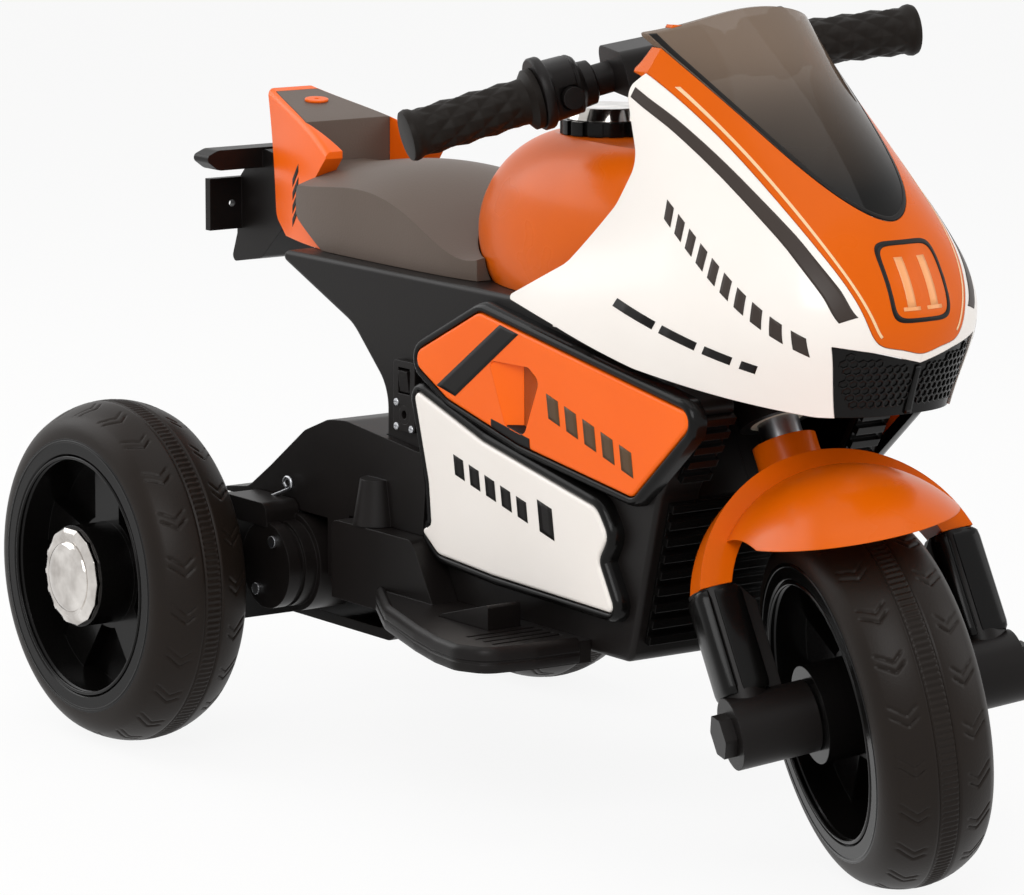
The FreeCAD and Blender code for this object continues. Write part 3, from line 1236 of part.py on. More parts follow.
def main():
    """Writes every piece to its own file."""
    os.makedirs("parts", exist_ok=True)
    pieces = {}
    pieces["body_left"] = body_half(1)
    pieces["body_right"] = socket_hole(body_half(-1))
    pieces["belly_grille"] = belly_grille()
    pieces["head_tube"] = head_tube()
    pieces["head_bushes"] = head_bushes()
    pieces["rear_frame"] = rear_frame()
    pieces["rear_bonnet"] = rear_bonnet()
    pieces["rear_axle"] = rear_axle()
    pieces["axle_nuts"] = pair(axle_nut)
    pieces["drive_gear"] = drive_gear()
    pieces["idler_gear"] = idler_gear()
    pieces["motor_pinion"] = motor_pinion()
    pieces["gearbox_screws"] = gearbox_screws()
    pieces["motor"] = motor(-1)
    pieces["side_panels"] = pair(side_insert)
    pieces["lower_panels"] = pair(lower_panel)
    pieces["seat"] = seat()
    pieces["tail_cover"] = tail_cover()
    pieces["tail_insert"] = tail_insert()
    pieces["plate_bracket"] = plate_bracket()
    pieces["tank_cover"] = tank_cover()
    pieces["cap_ring"] = cap_ring()
    pieces["filler_cap"] = filler_cap()
    pieces["nose_panel"] = nose_panel()
    pieces["windscreen"] = windscreen()
    pieces["lamp_grille"] = lamp_grille()
    pieces["pedal_pin"] = pedal_pin()
    pieces["foot_pedal"] = foot_pedal()
    pieces["battery"] = battery()
    pieces["control_board"] = control_board()
    pieces["speaker"] = speaker()
    pieces["port_plate"] = port_plate()
    pieces["charge_socket"] = charge_socket()
    pieces["power_rocker"] = power_rocker()
    for name, side in (("right", -1), ("left", 1)):
        pieces["rim_" + name], pieces["tyre_" + name], pieces["hub_cap_" + name] = rear_wheel(side)
        pieces["gearbox_" + name] = gearbox(side)
        pieces["fairing_" + name] = fairing_half(side)
        pieces["footrest_" + name] = footrest(side)
        pieces["button_" + name] = turned(button(side))
    hub = BOSS_IN - SWING_GAP
    pieces["front_rim"] = turned(rim(0, FRONT_AXLE.y, WHEEL_R, 1, hub, hub, HUB_R, HUB_R))
    pieces["front_tyre"] = turned(tyre(0, FRONT_AXLE.y, WHEEL_R))
    pieces["front_axle"] = turned(front_axle())
    pieces["axle_bolts"] = turned(pair(bolt_cap))
    pieces["fork_legs"] = turned(pair(fork_leg))
    pieces["grips"] = turned(pair(grip))
    pieces["controls"] = turned(pair(control_housing))
    pieces["fork_crown"] = turned(fork_crown())
    pieces["fender"] = turned(fender())
    pieces["steering_stem"] = turned(steering_stem())
    pieces["bar_clamp"] = turned(bar_clamp())
    pieces["handlebar"] = turned(handlebar())
    for name, shape in pieces.items():
        shape.exportStep("parts/" + name + ".step")
        print(name, len(shape.Solids), shape.isValid(), round(shape.Volume))


main()
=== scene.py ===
"""Kids electric motorbike: finishes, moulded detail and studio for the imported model."""

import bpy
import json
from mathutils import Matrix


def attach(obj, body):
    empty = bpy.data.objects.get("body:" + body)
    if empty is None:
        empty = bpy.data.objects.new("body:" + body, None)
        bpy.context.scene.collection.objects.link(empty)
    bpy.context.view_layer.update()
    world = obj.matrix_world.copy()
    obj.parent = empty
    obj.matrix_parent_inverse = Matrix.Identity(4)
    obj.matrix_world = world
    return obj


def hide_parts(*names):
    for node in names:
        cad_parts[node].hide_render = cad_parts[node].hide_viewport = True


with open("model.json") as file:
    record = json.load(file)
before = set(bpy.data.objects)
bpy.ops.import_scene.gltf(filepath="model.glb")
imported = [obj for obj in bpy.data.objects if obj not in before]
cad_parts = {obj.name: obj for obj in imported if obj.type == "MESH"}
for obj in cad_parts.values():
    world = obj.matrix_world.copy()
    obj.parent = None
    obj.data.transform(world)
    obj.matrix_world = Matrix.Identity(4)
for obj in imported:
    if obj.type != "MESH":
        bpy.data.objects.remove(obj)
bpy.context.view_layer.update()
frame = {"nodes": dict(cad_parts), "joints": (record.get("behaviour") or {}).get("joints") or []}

import json
import logging
import math
from dataclasses import dataclass
from enum import Enum

import bmesh
import bpy
import numpy as np
from mathutils import Matrix, Vector

LOG = logging.getLogger("motorbike")
# A millimetre in metres and a metre in millimetres.
MM = 0.001
METRE = 1000.0
FULL_TURN = 2.0 * math.pi
# In metres: points closer than WELD are one point, and edges shorter than SLIVER are none.
WELD = 1e-6
SLIVER = 1e-7
# Rays that soften one moulded edge.
EDGE_SAMPLES = 4
SIDES = (("right", -1.0), ("left", 1.0))
# Middle of the rear wheels: distance from the middle plane, then the axle's place, in millimetres.
REAR_WHEEL = (170.0, 297.0, 115.0)


def linear(code: str) -> tuple[float, float, float, float]:
    """Turns an sRGB hex colour into linear RGBA, by the standard's straight foot and its power of 2.4.

    Args:
        code: colour as #RRGGBB.

    Returns:
        Linear red, green, blue and an alpha of 1.
    """
    channels = np.array([int(code[i:i + 2], 16) for i in (1, 3, 5)]) / 255.0
    values = np.where(channels <= 0.04045, channels / 12.92, ((channels + 0.055) / 1.055) ** 2.4)
    return (*values.tolist(), 1.0)


def add_node(tree: bpy.types.NodeTree, kind: str, inputs: dict | None = None, **settings: object) -> bpy.types.Node:
    """Adds a node, sets its properties and inputs, and links the inputs that are given as sockets.

    Args:
        tree: node tree that gets the node.
        kind: Blender's name of the node type.
        inputs: input name or index to a value or to an output socket.
        settings: properties of the node.

    Returns:
        The new node.
    """
    node = tree.nodes.new(kind)
    for key, value in settings.items():
        setattr(node, key, value)
    for key, value in (inputs or {}).items():
        if isinstance(value, bpy.types.NodeSocket):
            tree.links.new(value, node.inputs[key])
        else:
            node.inputs[key].default_value = value
    return node


def seen_directly(tree: bpy.types.NodeTree) -> bpy.types.NodeSocket:
    """Adds a switch that is 1 for rays from the camera, off a gloss or through a clear sheet, and 0 for other rays.

    Args:
        tree: node tree that gets the nodes.

    Returns:
        The switch's value.
    """
    rays = add_node(tree, "ShaderNodeLightPath").outputs
    switch = rays["Is Camera Ray"]
    for kind in ("Is Glossy Ray", "Is Transmission Ray"):
        switch = add_node(tree, "ShaderNodeMath", {0: switch, 1: rays[kind]}, operation="MAXIMUM").outputs[0]
    return switch


def settle(piece: bpy.types.Object, body: str, node: str = "") -> None:
    """Lets a piece ride on a body and hides the CAD node that it stands for.

    Args:
        piece: the new piece.
        body: body that it moves with.
        node: CAD node that it stands for, if any.
    """
    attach(piece, body)
    if node:
        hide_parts(node)


@dataclass(frozen=True)
class Finish:
    """Moulded or plated surface with a slow drift of colour and a fine grain.

    drift_mm is the size of the colour clouds and grain_mm that of the grain; grain is the height of the bump, gloss the
    level of the mirror-like share and edge_mm the radius that moulded edges seem to have. A real moulded grain is too
    fine to show, so it is drawn coarser.
    """

    name: str
    colour: str
    shade: str
    roughness: float
    drift_mm: float = 70.0
    grain_mm: float = 1.6
    grain: float = 0.03
    coat: float = 0.0
    coat_roughness: float = 0.08
    metallic: float = 0.0
    gloss: float = 0.5
    edge_mm: float = 0.8
    bump_mm: float = 0.5
    sheen_drift: float = 0.15
    drift_detail: float = 3.0
    grain_detail: float = 2.0

    def material(self) -> bpy.types.Material:
        """Makes the material on first use.

        Returns:
            The material.
        """
        made = bpy.data.materials.get(self.name)
        if made is None:
            made = bpy.data.materials.new(self.name)
            made.use_nodes = True
            made.node_tree.nodes.clear()
            self.wire(made.node_tree)
        return made

    def wire(self, tree: bpy.types.NodeTree) -> None:
        """Lays out clouds of two tones and of sheen, a fine bump and softened edges.

        Args:
            tree: the material's empty node tree.
        """
        place = add_node(tree, "ShaderNodeTexCoord").outputs["Object"]
        clouds, grain = (
            add_node(tree, "ShaderNodeTexNoise", {"Vector": place, "Scale": METRE / size, "Detail": detail})
            for size, detail in ((self.drift_mm, self.drift_detail), (self.grain_mm, self.grain_detail)))
        tone = add_node(tree, "ShaderNodeMix", {
            "Factor": clouds.outputs["Fac"], "A": linear(self.colour), "B": linear(self.shade)}, data_type="RGBA")
        bump = add_node(tree, "ShaderNodeBump", {
            "Height": grain.outputs["Fac"], "Strength": self.grain, "Distance": self.bump_mm * MM})
        if self.edge_mm:
            edge = add_node(tree, "ShaderNodeBevel", {"Radius": self.edge_mm * MM}, samples=EDGE_SAMPLES)
            tree.links.new(edge.outputs["Normal"], bump.inputs["Normal"])
        sheen = add_node(tree, "ShaderNodeMapRange", {
            "Value": clouds.outputs["Fac"], "To Min": self.roughness * (1.0 - self.sheen_drift),
            "To Max": self.roughness * (1.0 + self.sheen_drift)})
        shader = add_node(tree, "ShaderNodeBsdfPrincipled", {
            "Base Color": tone.outputs["Result"], "Roughness": sheen.outputs["Result"],
            "Normal": bump.outputs["Normal"], "Metallic": self.metallic, "Coat Weight": self.coat,
            "Coat Roughness": self.coat_roughness, "Specular IOR Level": self.gloss})
        add_node(tree, "ShaderNodeOutputMaterial", {"Surface": shader.outputs["BSDF"]})

    def dress(self, *nodes: str) -> None:
        """Gives the finish to CAD nodes.

        Args:
            nodes: names of the nodes.
        """
        for name in nodes:
            slots = frame["nodes"][name].data.materials
            slots.clear()
            slots.append(self.material())
            LOG.info("%s: %s", name, self.name)


@dataclass(frozen=True)
class SmokedFinish(Finish):
    """Tinted sheet that is clearer towards its top edge, where its colour turns to a grey painted reflection.

    low_mm and high_mm bound the fade, waver_mm is its unevenness, and dense and thin are the opacity at its ends.
    """

    coat_roughness: float = 0.03
    drift_detail: float = 1.0
    low_mm: float = 420.0
    high_mm: float = 512.0
    waver_mm: float = 40.0
    # Grey that the top turns to: a painted reflection.
    clear: str = "#7C6A5B"
    dense: float = 0.97
    thin: float = 0.8

    def wire(self, tree: bpy.types.NodeTree) -> None:
        """Lays out a fade over the height, from the dark tint to a grey painted reflection, and of opacity.

        Args:
            tree: the material's empty node tree.
        """
        place = add_node(tree, "ShaderNodeTexCoord").outputs["Object"]
        height = add_node(tree, "ShaderNodeSeparateXYZ", {"Vector": place}).outputs["Z"]
        cloud = add_node(tree, "ShaderNodeTexNoise", {
            "Vector": place, "Scale": METRE / self.drift_mm, "Detail": self.drift_detail})
        waver = add_node(tree, "ShaderNodeMath", {0: cloud.outputs["Fac"], 1: self.waver_mm * MM, 2: height},
                         operation="MULTIPLY_ADD")
        low, high = ((edge + self.waver_mm / 2.0) * MM for edge in (self.low_mm, self.high_mm))
        fade = add_node(tree, "ShaderNodeMapRange", {"Value": waver.outputs[0], "From Min": low, "From Max": high},
                        interpolation_type="SMOOTHSTEP").outputs["Result"]
        tone = add_node(tree, "ShaderNodeMix", {"Factor": fade, "A": linear(self.colour), "B": linear(self.clear)},
                        data_type="RGBA")
        alpha = add_node(tree, "ShaderNodeMapRange", {"Value": fade, "To Min": self.dense, "To Max": self.thin})
        shader = add_node(tree, "ShaderNodeBsdfPrincipled", {
            "Base Color": tone.outputs["Result"], "Roughness": self.roughness, "Alpha": alpha.outputs["Result"],
            "Coat Weight": self.coat, "Coat Roughness": self.coat_roughness, "Specular IOR Level": self.gloss})
        add_node(tree, "ShaderNodeOutputMaterial", {"Surface": shader.outputs["BSDF"]})


# Glossy ABS shells: saturated pigment, soft clear reflections.
ORANGE = Finish("orange_abs", "#FC6A08", "#F56204", 0.34, coat=0.06, gloss=0.2)
# Lacquered orange: darker than the bare pigment, with a tighter highlight.
DEEP_ORANGE = Finish("orange_lacquer", "#E06200", "#D05800", 0.28, coat=0.05, gloss=0.12)
# The front wall of the grip pocket lies in the shade: a browner orange.
SHADED_ORANGE = Finish("shaded_abs", "#B24A08", "#943A04", 0.42, gloss=0.1)
# Warm white with a clear coat: bright, with soft reflections.
WHITE = Finish("white_abs", "#F6F0EA", "#F0E9E2", 0.3, coat=0.2, gloss=0.4)
# Polypropylene mouldings: satin black with a fine spark-eroded grain and little reflection.
BLACK = Finish("black_polypropylene", "#0F0D0C", "#161211", 0.4, grain=0.1, grain_mm=1.2, gloss=0.16)
# Polished black: deeper, with sharper reflections.
GLOSS_BLACK = Finish("black_abs", "#090808", "#0D0C0B", 0.22, coat=0.06, gloss=0.12)
# Coarser grain that scatters light: the saddle, the tread and the grips look softer than the shells.
SEAT_GREY = Finish("seat_polypropylene", "#5A4D44", "#645850", 0.45, grain=0.22, grain_mm=1.4, gloss=0.2)
TYRE_BLACK = Finish("tyre_polypropylene", "#17120F", "#1F1813", 0.42, grain=0.15, grain_mm=1.5, gloss=0.14, edge_mm=0.0)
GRIP_BLACK = Finish("grip_rubber", "#130F0C", "#1A1511", 0.5, grain=0.15, grain_mm=1.0, gloss=0.12, edge_mm=0.0)
# Bright plating: a painted reflection of a dark and a light surround in patches; zinc: duller, slightly brushed.
CHROME = Finish("chrome_plate", "#FFFBF6", "#6B625B", 0.1, metallic=1.0, grain=0.02, drift_mm=18.0)
ZINC = Finish("zinc_plated_steel", "#B9BABD", "#A6A7AA", 0.32, metallic=1.0, grain=0.06, grain_mm=0.8)
# Tinted acrylic: almost black low down, clearer at the top, where the grey is a painted reflection.
SMOKE = SmokedFinish("smoked_acrylic", "#070605", "#070605", 0.06, drift_mm=90.0, coat=0.08, gloss=0.12)
# Inner parts: milky gears and a dull green board.
NYLON = Finish("natural_nylon", "#D9D2C2", "#CFC7B5", 0.45)
BOARD = Finish("green_laminate", "#1F5B35", "#1A4C2C", 0.4)
# Vinyl films: flat ink with a slight sheen.
INK_BLACK = Finish("black_vinyl", "#0F0D0C", "#171413", 0.4, grain=0.02, gloss=0.15, edge_mm=0.0)
INK_GREY = Finish("grey_vinyl", "#332B27", "#3D342F", 0.4, grain=0.02, gloss=0.2, edge_mm=0.0)
INK_BROWN = Finish("brown_vinyl", "#4F3B27", "#58432E", 0.4, grain=0.02, gloss=0.2, edge_mm=0.0)
INK_CREAM = Finish("cream_vinyl", "#F2CDA0", "#EAC292", 0.4, grain=0.02, edge_mm=0.0)
INK_PEACH = Finish("peach_vinyl", "#EFA468", "#E89A5C", 0.4, grain=0.02, edge_mm=0.0)


def ring(count: int) -> np.ndarray:
    """Evenly spread angles of a full turn, without the repeated end."""
    return np.linspace(0.0, FULL_TURN, count, endpoint=False)


def unit(vectors: np.ndarray) -> np.ndarray:
    """Scales vectors to length one."""
    return vectors / np.linalg.norm(vectors, axis=-1, keepdims=True)


def right_of(along: np.ndarray) -> np.ndarray:
    """Turns plane directions a quarter turn to the right."""
    return np.stack([along[:, 1], -along[:, 0]], -1)


def smooth_path(knots: tuple, count: int) -> np.ndarray:
    """Smooth curve through knots.

    Each span is the cubic through its two knots whose end slopes are half the chord between the neighbours.

    Args:
        knots: points of the curve.
        count: number of points wanted.

    Returns:
        Array of count points.
    """
    p = np.array(knots, float)
    wide = np.concatenate([2 * p[:1] - p[1:2], p, 2 * p[-1:] - p[-2:-1]])
    at = np.linspace(0.0, len(p) - 1.0, count)
    span = np.minimum(at.astype(int), len(p) - 2)
    t = (at - span)[:, None]
    a, b, c, d = (wide[span + i] for i in range(4))
    return 0.5 * (2 * b + (c - a) * t + (2 * a - 5 * b + 4 * c - d) * t ** 2 + (3 * b - a - 3 * c + d) * t ** 3)


def ribbon(path: np.ndarray, near: float, far: float, cols: int = 4) -> np.ndarray:
    """Strip beside a plane curve: every point moves along the curve's right-hand normal by near to far.

    Args:
        path: points of the curve.
        near: distance of the first edge.
        far: distance of the second edge.
        cols: points across the strip.

    Returns:
        One patch: array of 1 by points by columns by 2.
    """
    normal = right_of(unit(np.gradient(path, axis=0)))
    away = np.linspace(near, far, cols)
    return (path[:, None, :] + normal[:, None, :] * away[None, :, None])[None]


def patch(corners: tuple, rows: int = 12, cols: int = 5) -> np.ndarray:
    """Four-cornered field: points blend linearly between two opposite edges.

    Args:
        corners: four plane points in order round the field.
        rows: points along the first edge.
        cols: points across.

    Returns:
        One patch: array of 1 by rows by columns by 2.
    """
    a, b, c, d = (np.array(p, float) for p in corners)
    u, v = (m[..., None] for m in np.meshgrid(np.linspace(0, 1, rows), np.linspace(0, 1, cols), indexing="ij"))
    return ((a * (1 - u) + b * u) * (1 - v) + (d * (1 - u) + c * u) * v)[None]


def arc_through(first: tuple, middle: tuple, last: tuple, count: int) -> np.ndarray:
    """Points of the circular arc through three points of a plane.

    The centre is where the two perpendicular bisectors meet, and the points are spread evenly over the swept angle.

    Args:
        first: start point.
        middle: any point between.
        last: end point.
        count: number of points.

    Returns:
        Array of count points.
    """
    a, b, c = (np.array(p, float) for p in (first, middle, last))
    lhs = 2.0 * np.array([b - a, c - a])
    rhs = np.array([b @ b - a @ a, c @ c - a @ a])
    centre = np.linalg.solve(lhs, rhs)
    radius = np.linalg.norm(a - centre)
    start, via, stop = (math.atan2(*(p - centre)[::-1]) for p in (a, b, c))
    via = start + (via - start + math.pi) % FULL_TURN - math.pi
    stop = via + (stop - via + math.pi) % FULL_TURN - math.pi
    angles = np.linspace(start, stop, count)
    return centre + radius * np.stack([np.cos(angles), np.sin(angles)], -1)


def revolved(profile: tuple, count: int) -> tuple[np.ndarray, np.ndarray, np.ndarray]:
    """Grids of length, angle and radius of a profile that is carried round an axis.

    Args:
        profile: length and radius of every station.
        count: points round the axis.

    Returns:
        Three arrays of stations by count.
    """
    table = np.array(profile, float)
    s, a = np.meshgrid(table[:, 0], ring(count), indexing="ij")
    return s, a, np.broadcast_to(table[:, 1:], s.shape)


def capped(rows: np.ndarray) -> np.ndarray:
    """Closes a loft: adds an end row at both ends, drawn together to the middle of the section beside it."""
    ends = np.broadcast_to(rows[[0, -1]].mean(axis=1, keepdims=True), rows[[0, -1]].shape)
    return np.concatenate([ends[:1], rows, ends[1:]])


def grid_quads(rows: int, cols: int, wrap_u: bool = False, wrap_v: bool = False) -> np.ndarray:
    """Quads between the neighbours of a grid of points.

    Args:
        rows: rows of the grid.
        cols: columns of the grid.
        wrap_u: whether the last row joins the first.
        wrap_v: whether the last column joins the first.

    Returns:
        Array of faces by 4 point numbers.
    """
    spans = np.arange(rows if wrap_u else rows - 1), np.arange(cols if wrap_v else cols - 1)
    u, v = np.meshgrid(*spans, indexing="ij")
    u2, v2 = (u + 1) % rows, (v + 1) % cols
    return np.stack([u * cols + v, u2 * cols + v, u2 * cols + v2, u * cols + v2], -1).reshape(-1, 4)


def grid_piece(name: str, points: np.ndarray, finish: Finish, wrap_u: bool = False,
               wrap_v: bool = False) -> bpy.types.Object:
    """Makes a smooth object from a grid of points.

    Args:
        name: object name.
        points: array of rows by columns by 3, in metres.
        finish: finish of the piece.
        wrap_u: whether the last row joins the first.
        wrap_v: whether the last column joins the first.

    Returns:
        The new object, with doubles merged and faces turned outwards.
    """
    return mesh_piece(name, points.reshape(-1, 3), grid_quads(*points.shape[:2], wrap_u, wrap_v), finish)


def mesh_piece(name: str, points: np.ndarray, quads: np.ndarray, finish: Finish,
               closed: bool = True) -> bpy.types.Object:
    """Puts whole arrays of points and quads into a new object and merges doubles.

    Args:
        name: object name.
        points: array of points by 3, in metres.
        quads: array of faces by 4 point numbers.
        finish: finish of the piece.
        closed: whether the faces bound a body and are turned outwards.

    Returns:
        The new object.
    """
    mesh = bpy.data.meshes.new(name)
    mesh.vertices.add(len(points))
    mesh.vertices.foreach_set("co", np.ascontiguousarray(points, np.float32).reshape(-1))
    mesh.loops.add(quads.size)
    mesh.loops.foreach_set("vertex_index", np.ascontiguousarray(quads, np.int32).reshape(-1))
    mesh.polygons.add(len(quads))
    mesh.polygons.foreach_set("loop_start", np.arange(len(quads), dtype=np.int32) * 4)
    mesh.update(calc_edges=True)
    work = bmesh.new()
    work.from_mesh(mesh)
    bmesh.ops.remove_doubles(work, verts=work.verts, dist=WELD)
    bmesh.ops.dissolve_degenerate(work, edges=work.edges, dist=SLIVER)
    if closed:
        bmesh.ops.recalc_face_normals(work, faces=work.faces)
    return shown(name, work, mesh, finish)


def shown(name: str, work: bmesh.types.BMesh, mesh: bpy.types.Mesh, finish: Finish,
          crease: float = 0.7) -> bpy.types.Object:
    """Turns a working mesh into a smooth object in the scene and reports it.

    Args:
        name: object name.
        work: the working mesh, which is used up.
        mesh: mesh that takes the result.
        finish: finish of the piece.
        crease: angle in radians above which an edge stays sharp.

    Returns:
        The new object.
    """
    work.to_mesh(mesh)
    work.free()
    mesh.polygons.foreach_set("use_smooth", np.ones(len(mesh.polygons), bool))
    mesh.set_sharp_from_angle(angle=crease)
    mesh.materials.append(finish.material())
    LOG.info("%s: %d faces, %s", name, len(mesh.polygons), finish.name)
    return linked(name, mesh)


def linked(name: str, data: bpy.types.ID) -> bpy.types.Object:
    """Puts data into the scene as a new object.

    Args:
        name: object name.
        data: mesh, camera or lamp.

    Returns:
        The new object.
    """
    holder = bpy.data.objects.new(name, data)
    bpy.context.scene.collection.objects.link(holder)
    return holder


def bake(piece: bpy.types.Object) -> None:
    """Puts the result of the modifiers into the object's own mesh.

    Args:
        piece: object with modifiers.
    """
    bpy.context.view_layer.update()
    graph = bpy.context.evaluated_depsgraph_get()
    made = bpy.data.meshes.new_from_object(piece.evaluated_get(graph))
    piece.modifiers.clear()
    piece.data = made


@dataclass
class Steering:
    """Turned rest position of everything that swings with the fork, and the places of the wheels."""

    caster: float = math.radians(28.3)
    rest: float = math.radians(-21.0)
    foot: tuple[float, float, float] = (0.0, -0.273, 0.115)
    bar_mid: tuple[float, float, float] = (0.0, -0.0633, 0.4765)
    droop: float = math.radians(4.5)

    def axis(self) -> np.ndarray:
        """Direction of the steering axis, upwards."""
        return np.array([0.0, math.sin(self.caster), math.cos(self.caster)])

    def tilt(self) -> np.ndarray:
        """Rotation from straight ahead to the rest position."""
        return np.array(Matrix.Rotation(self.rest, 3, Vector(self.axis())))

    def turned(self, points: np.ndarray) -> np.ndarray:
        """Turns straight-ahead points about the steering axis to the rest position."""
        foot = np.array(self.foot)
        return (points - foot) @ self.tilt().T + foot

    def on_bar(self, points: np.ndarray, side: float) -> np.ndarray:
        """Moves points to one side of the turned handlebar.

        Args:
            points: array that ends in the place along the bar, the depth and the height, in millimetres.
            side: 1 for the left, -1 for the mirrored right.

        Returns:
            Points in metres.
        """
        x, y, z = np.moveaxis(points, -1, 0)
        c, d = math.cos(self.droop), math.sin(self.droop)
        arm = np.stack([x * c + z * d, y, z * c - x * d], -1) * MM
        return self.turned(arm * np.array([side, 1.0, 1.0]) + np.array(self.bar_mid))

    def wheels(self, shape: np.ndarray) -> tuple[tuple[str, np.ndarray], ...]:
        """Puts a shape that is centred on its axle at the three wheels.

        Args:
            shape: points in metres.

        Returns:
            Body and points of the left, the right and the front wheel.
        """
        left = np.array(REAR_WHEEL) * MM
        joint = next(j for j in frame["joints"] if j["name"] == "front_wheel_spin")
        return (("rear_wheel_left", shape + left), ("rear_wheel_right", shape + left * np.array([-1.0, 1.0, 1.0])),
                ("front_wheel", shape @ self.tilt().T + np.array(joint["pos_m"])))


@dataclass
class Tyres:
    """Blow-moulded tyres: ribbed centre band, chevron lines on the shoulders.

    The surface is the tyre's section carried round the axle; its radius is lowered where the pattern has a line.
    The wheel's sizes are in metres and the pattern's in millimetres. groove holds place, width and depth, fold the
    place and the lean of the bent lines, and pair the shift and the strength of the two lines.
    """

    nodes: tuple = ("tyre_left", "tyre_right", "front_tyre")
    radius: float = 0.115
    half: float = 0.036
    lip: float = 0.092
    barrel: float = 0.084
    lip_width: float = 0.004
    shoulder: float = 0.8
    rise: float = 0.62
    bulge: tuple[float, float] = (0.12, 0.4)
    flank_points: int = 12
    crown_points: int = 61
    samples: int = 1080
    ribs: int = 180
    rib_reach: float = 4.6
    rib_depth: float = 0.45
    groove: tuple[float, float, float] = (6.0, 0.7, 0.9)
    chevrons: int = 22
    fold: tuple[float, float] = (19.0, 0.85)
    field: tuple[float, float] = (12.0, 29.0)
    fade: float = 1.5
    bead_step: float = 0.5
    pair: tuple = ((0.0, 1.0), (6.5, 0.8))
    line_width: float = 0.95
    line_depth: float = 1.1

    def section(self) -> np.ndarray:
        """Closed section from the outer bead over the crown and back inside the bead.

        Returns:
            Array of points by 2: the distance across and the radius.
        """
        wall = self.radius - self.lip
        shoulder = (self.shoulder * self.half, self.lip + self.rise * wall)
        bulge = (shoulder[0] + self.bulge[0] * self.half, self.lip + self.bulge[1] * wall)
        mirror = np.array([-1.0, 1.0])
        flank = arc_through((self.half, self.lip), bulge, shoulder, self.flank_points)
        crown = arc_through(shoulder, (0.0, self.radius), tuple(mirror * shoulder), self.crown_points)
        seat = np.array([(self.half - self.lip_width, self.lip), (self.half - self.lip_width, self.barrel)])
        return np.concatenate([flank[:-1], crown, (flank * mirror)[::-1][1:], seat * mirror, seat[::-1]])

    def relief(self, angle: np.ndarray, across: np.ndarray, radius: np.ndarray) -> np.ndarray:
        """Depth of the pattern in metres.

        The band at the crown has level ribs round the wheel, two grooves bound it, and on each shoulder a pair of
        bent lines repeats: its distance round the wheel from the fold grows with the distance from the fold's line.

        Args:
            angle: angle round the axle.
            across: distance from the wheel's middle plane.
            radius: plain radius.

        Returns:
            Change of the radius.
        """
        path = angle * self.radius / MM
        side = np.abs(across) / MM
        outer = radius > self.lip + self.bead_step * MM
        band = np.where(side < self.rib_reach, self.rib_depth * (1.0 + np.cos(angle * self.ribs)), 0.0)
        place, width, depth = self.groove
        grooves = depth * np.exp(-((side - place) / width) ** 2)
        pitch = FULL_TURN * self.radius / MM / self.chevrons
        phase = np.where(across > 0, 0.5 * pitch, 0.0)
        bend = self.fold[1] * np.abs(side - self.fold[0])
        near, far = self.field
        inside = np.clip((side - near) / self.fade, 0.0, 1.0) * np.clip((far - side) / self.fade, 0.0, 1.0)
        lines = np.zeros_like(path)
        for shift, share in self.pair:
            away = (path + phase + bend + shift) % pitch - 0.5 * pitch
            lines = np.maximum(lines, share * np.exp(-(away / self.line_width) ** 2))
        return -(band + grooves + self.line_depth * lines * inside) * outer * MM

    def build(self, steering: Steering) -> None:
        """Makes the three tyres in place of their plain solids.

        Args:
            steering: turned rest position of the fork.
        """
        section = self.section()
        angle, across = np.meshgrid(ring(self.samples), section[:, 0], indexing="ij")
        radius = np.broadcast_to(section[:, 1], across.shape)
        radius = radius + self.relief(angle, across, radius)
        wheel = np.stack([across, radius * np.cos(angle), radius * np.sin(angle)], -1)
        for node, (body, points) in zip(self.nodes, steering.wheels(wheel)):
            settle(grid_piece(node + "_tread", points, TYRE_BLACK, True, True), body, node)


class Axis(Enum):
    """Direction along which a flat graphic is laid onto a curved piece."""

    ACROSS = 0
    ALONG = 1
    DOWN = 2


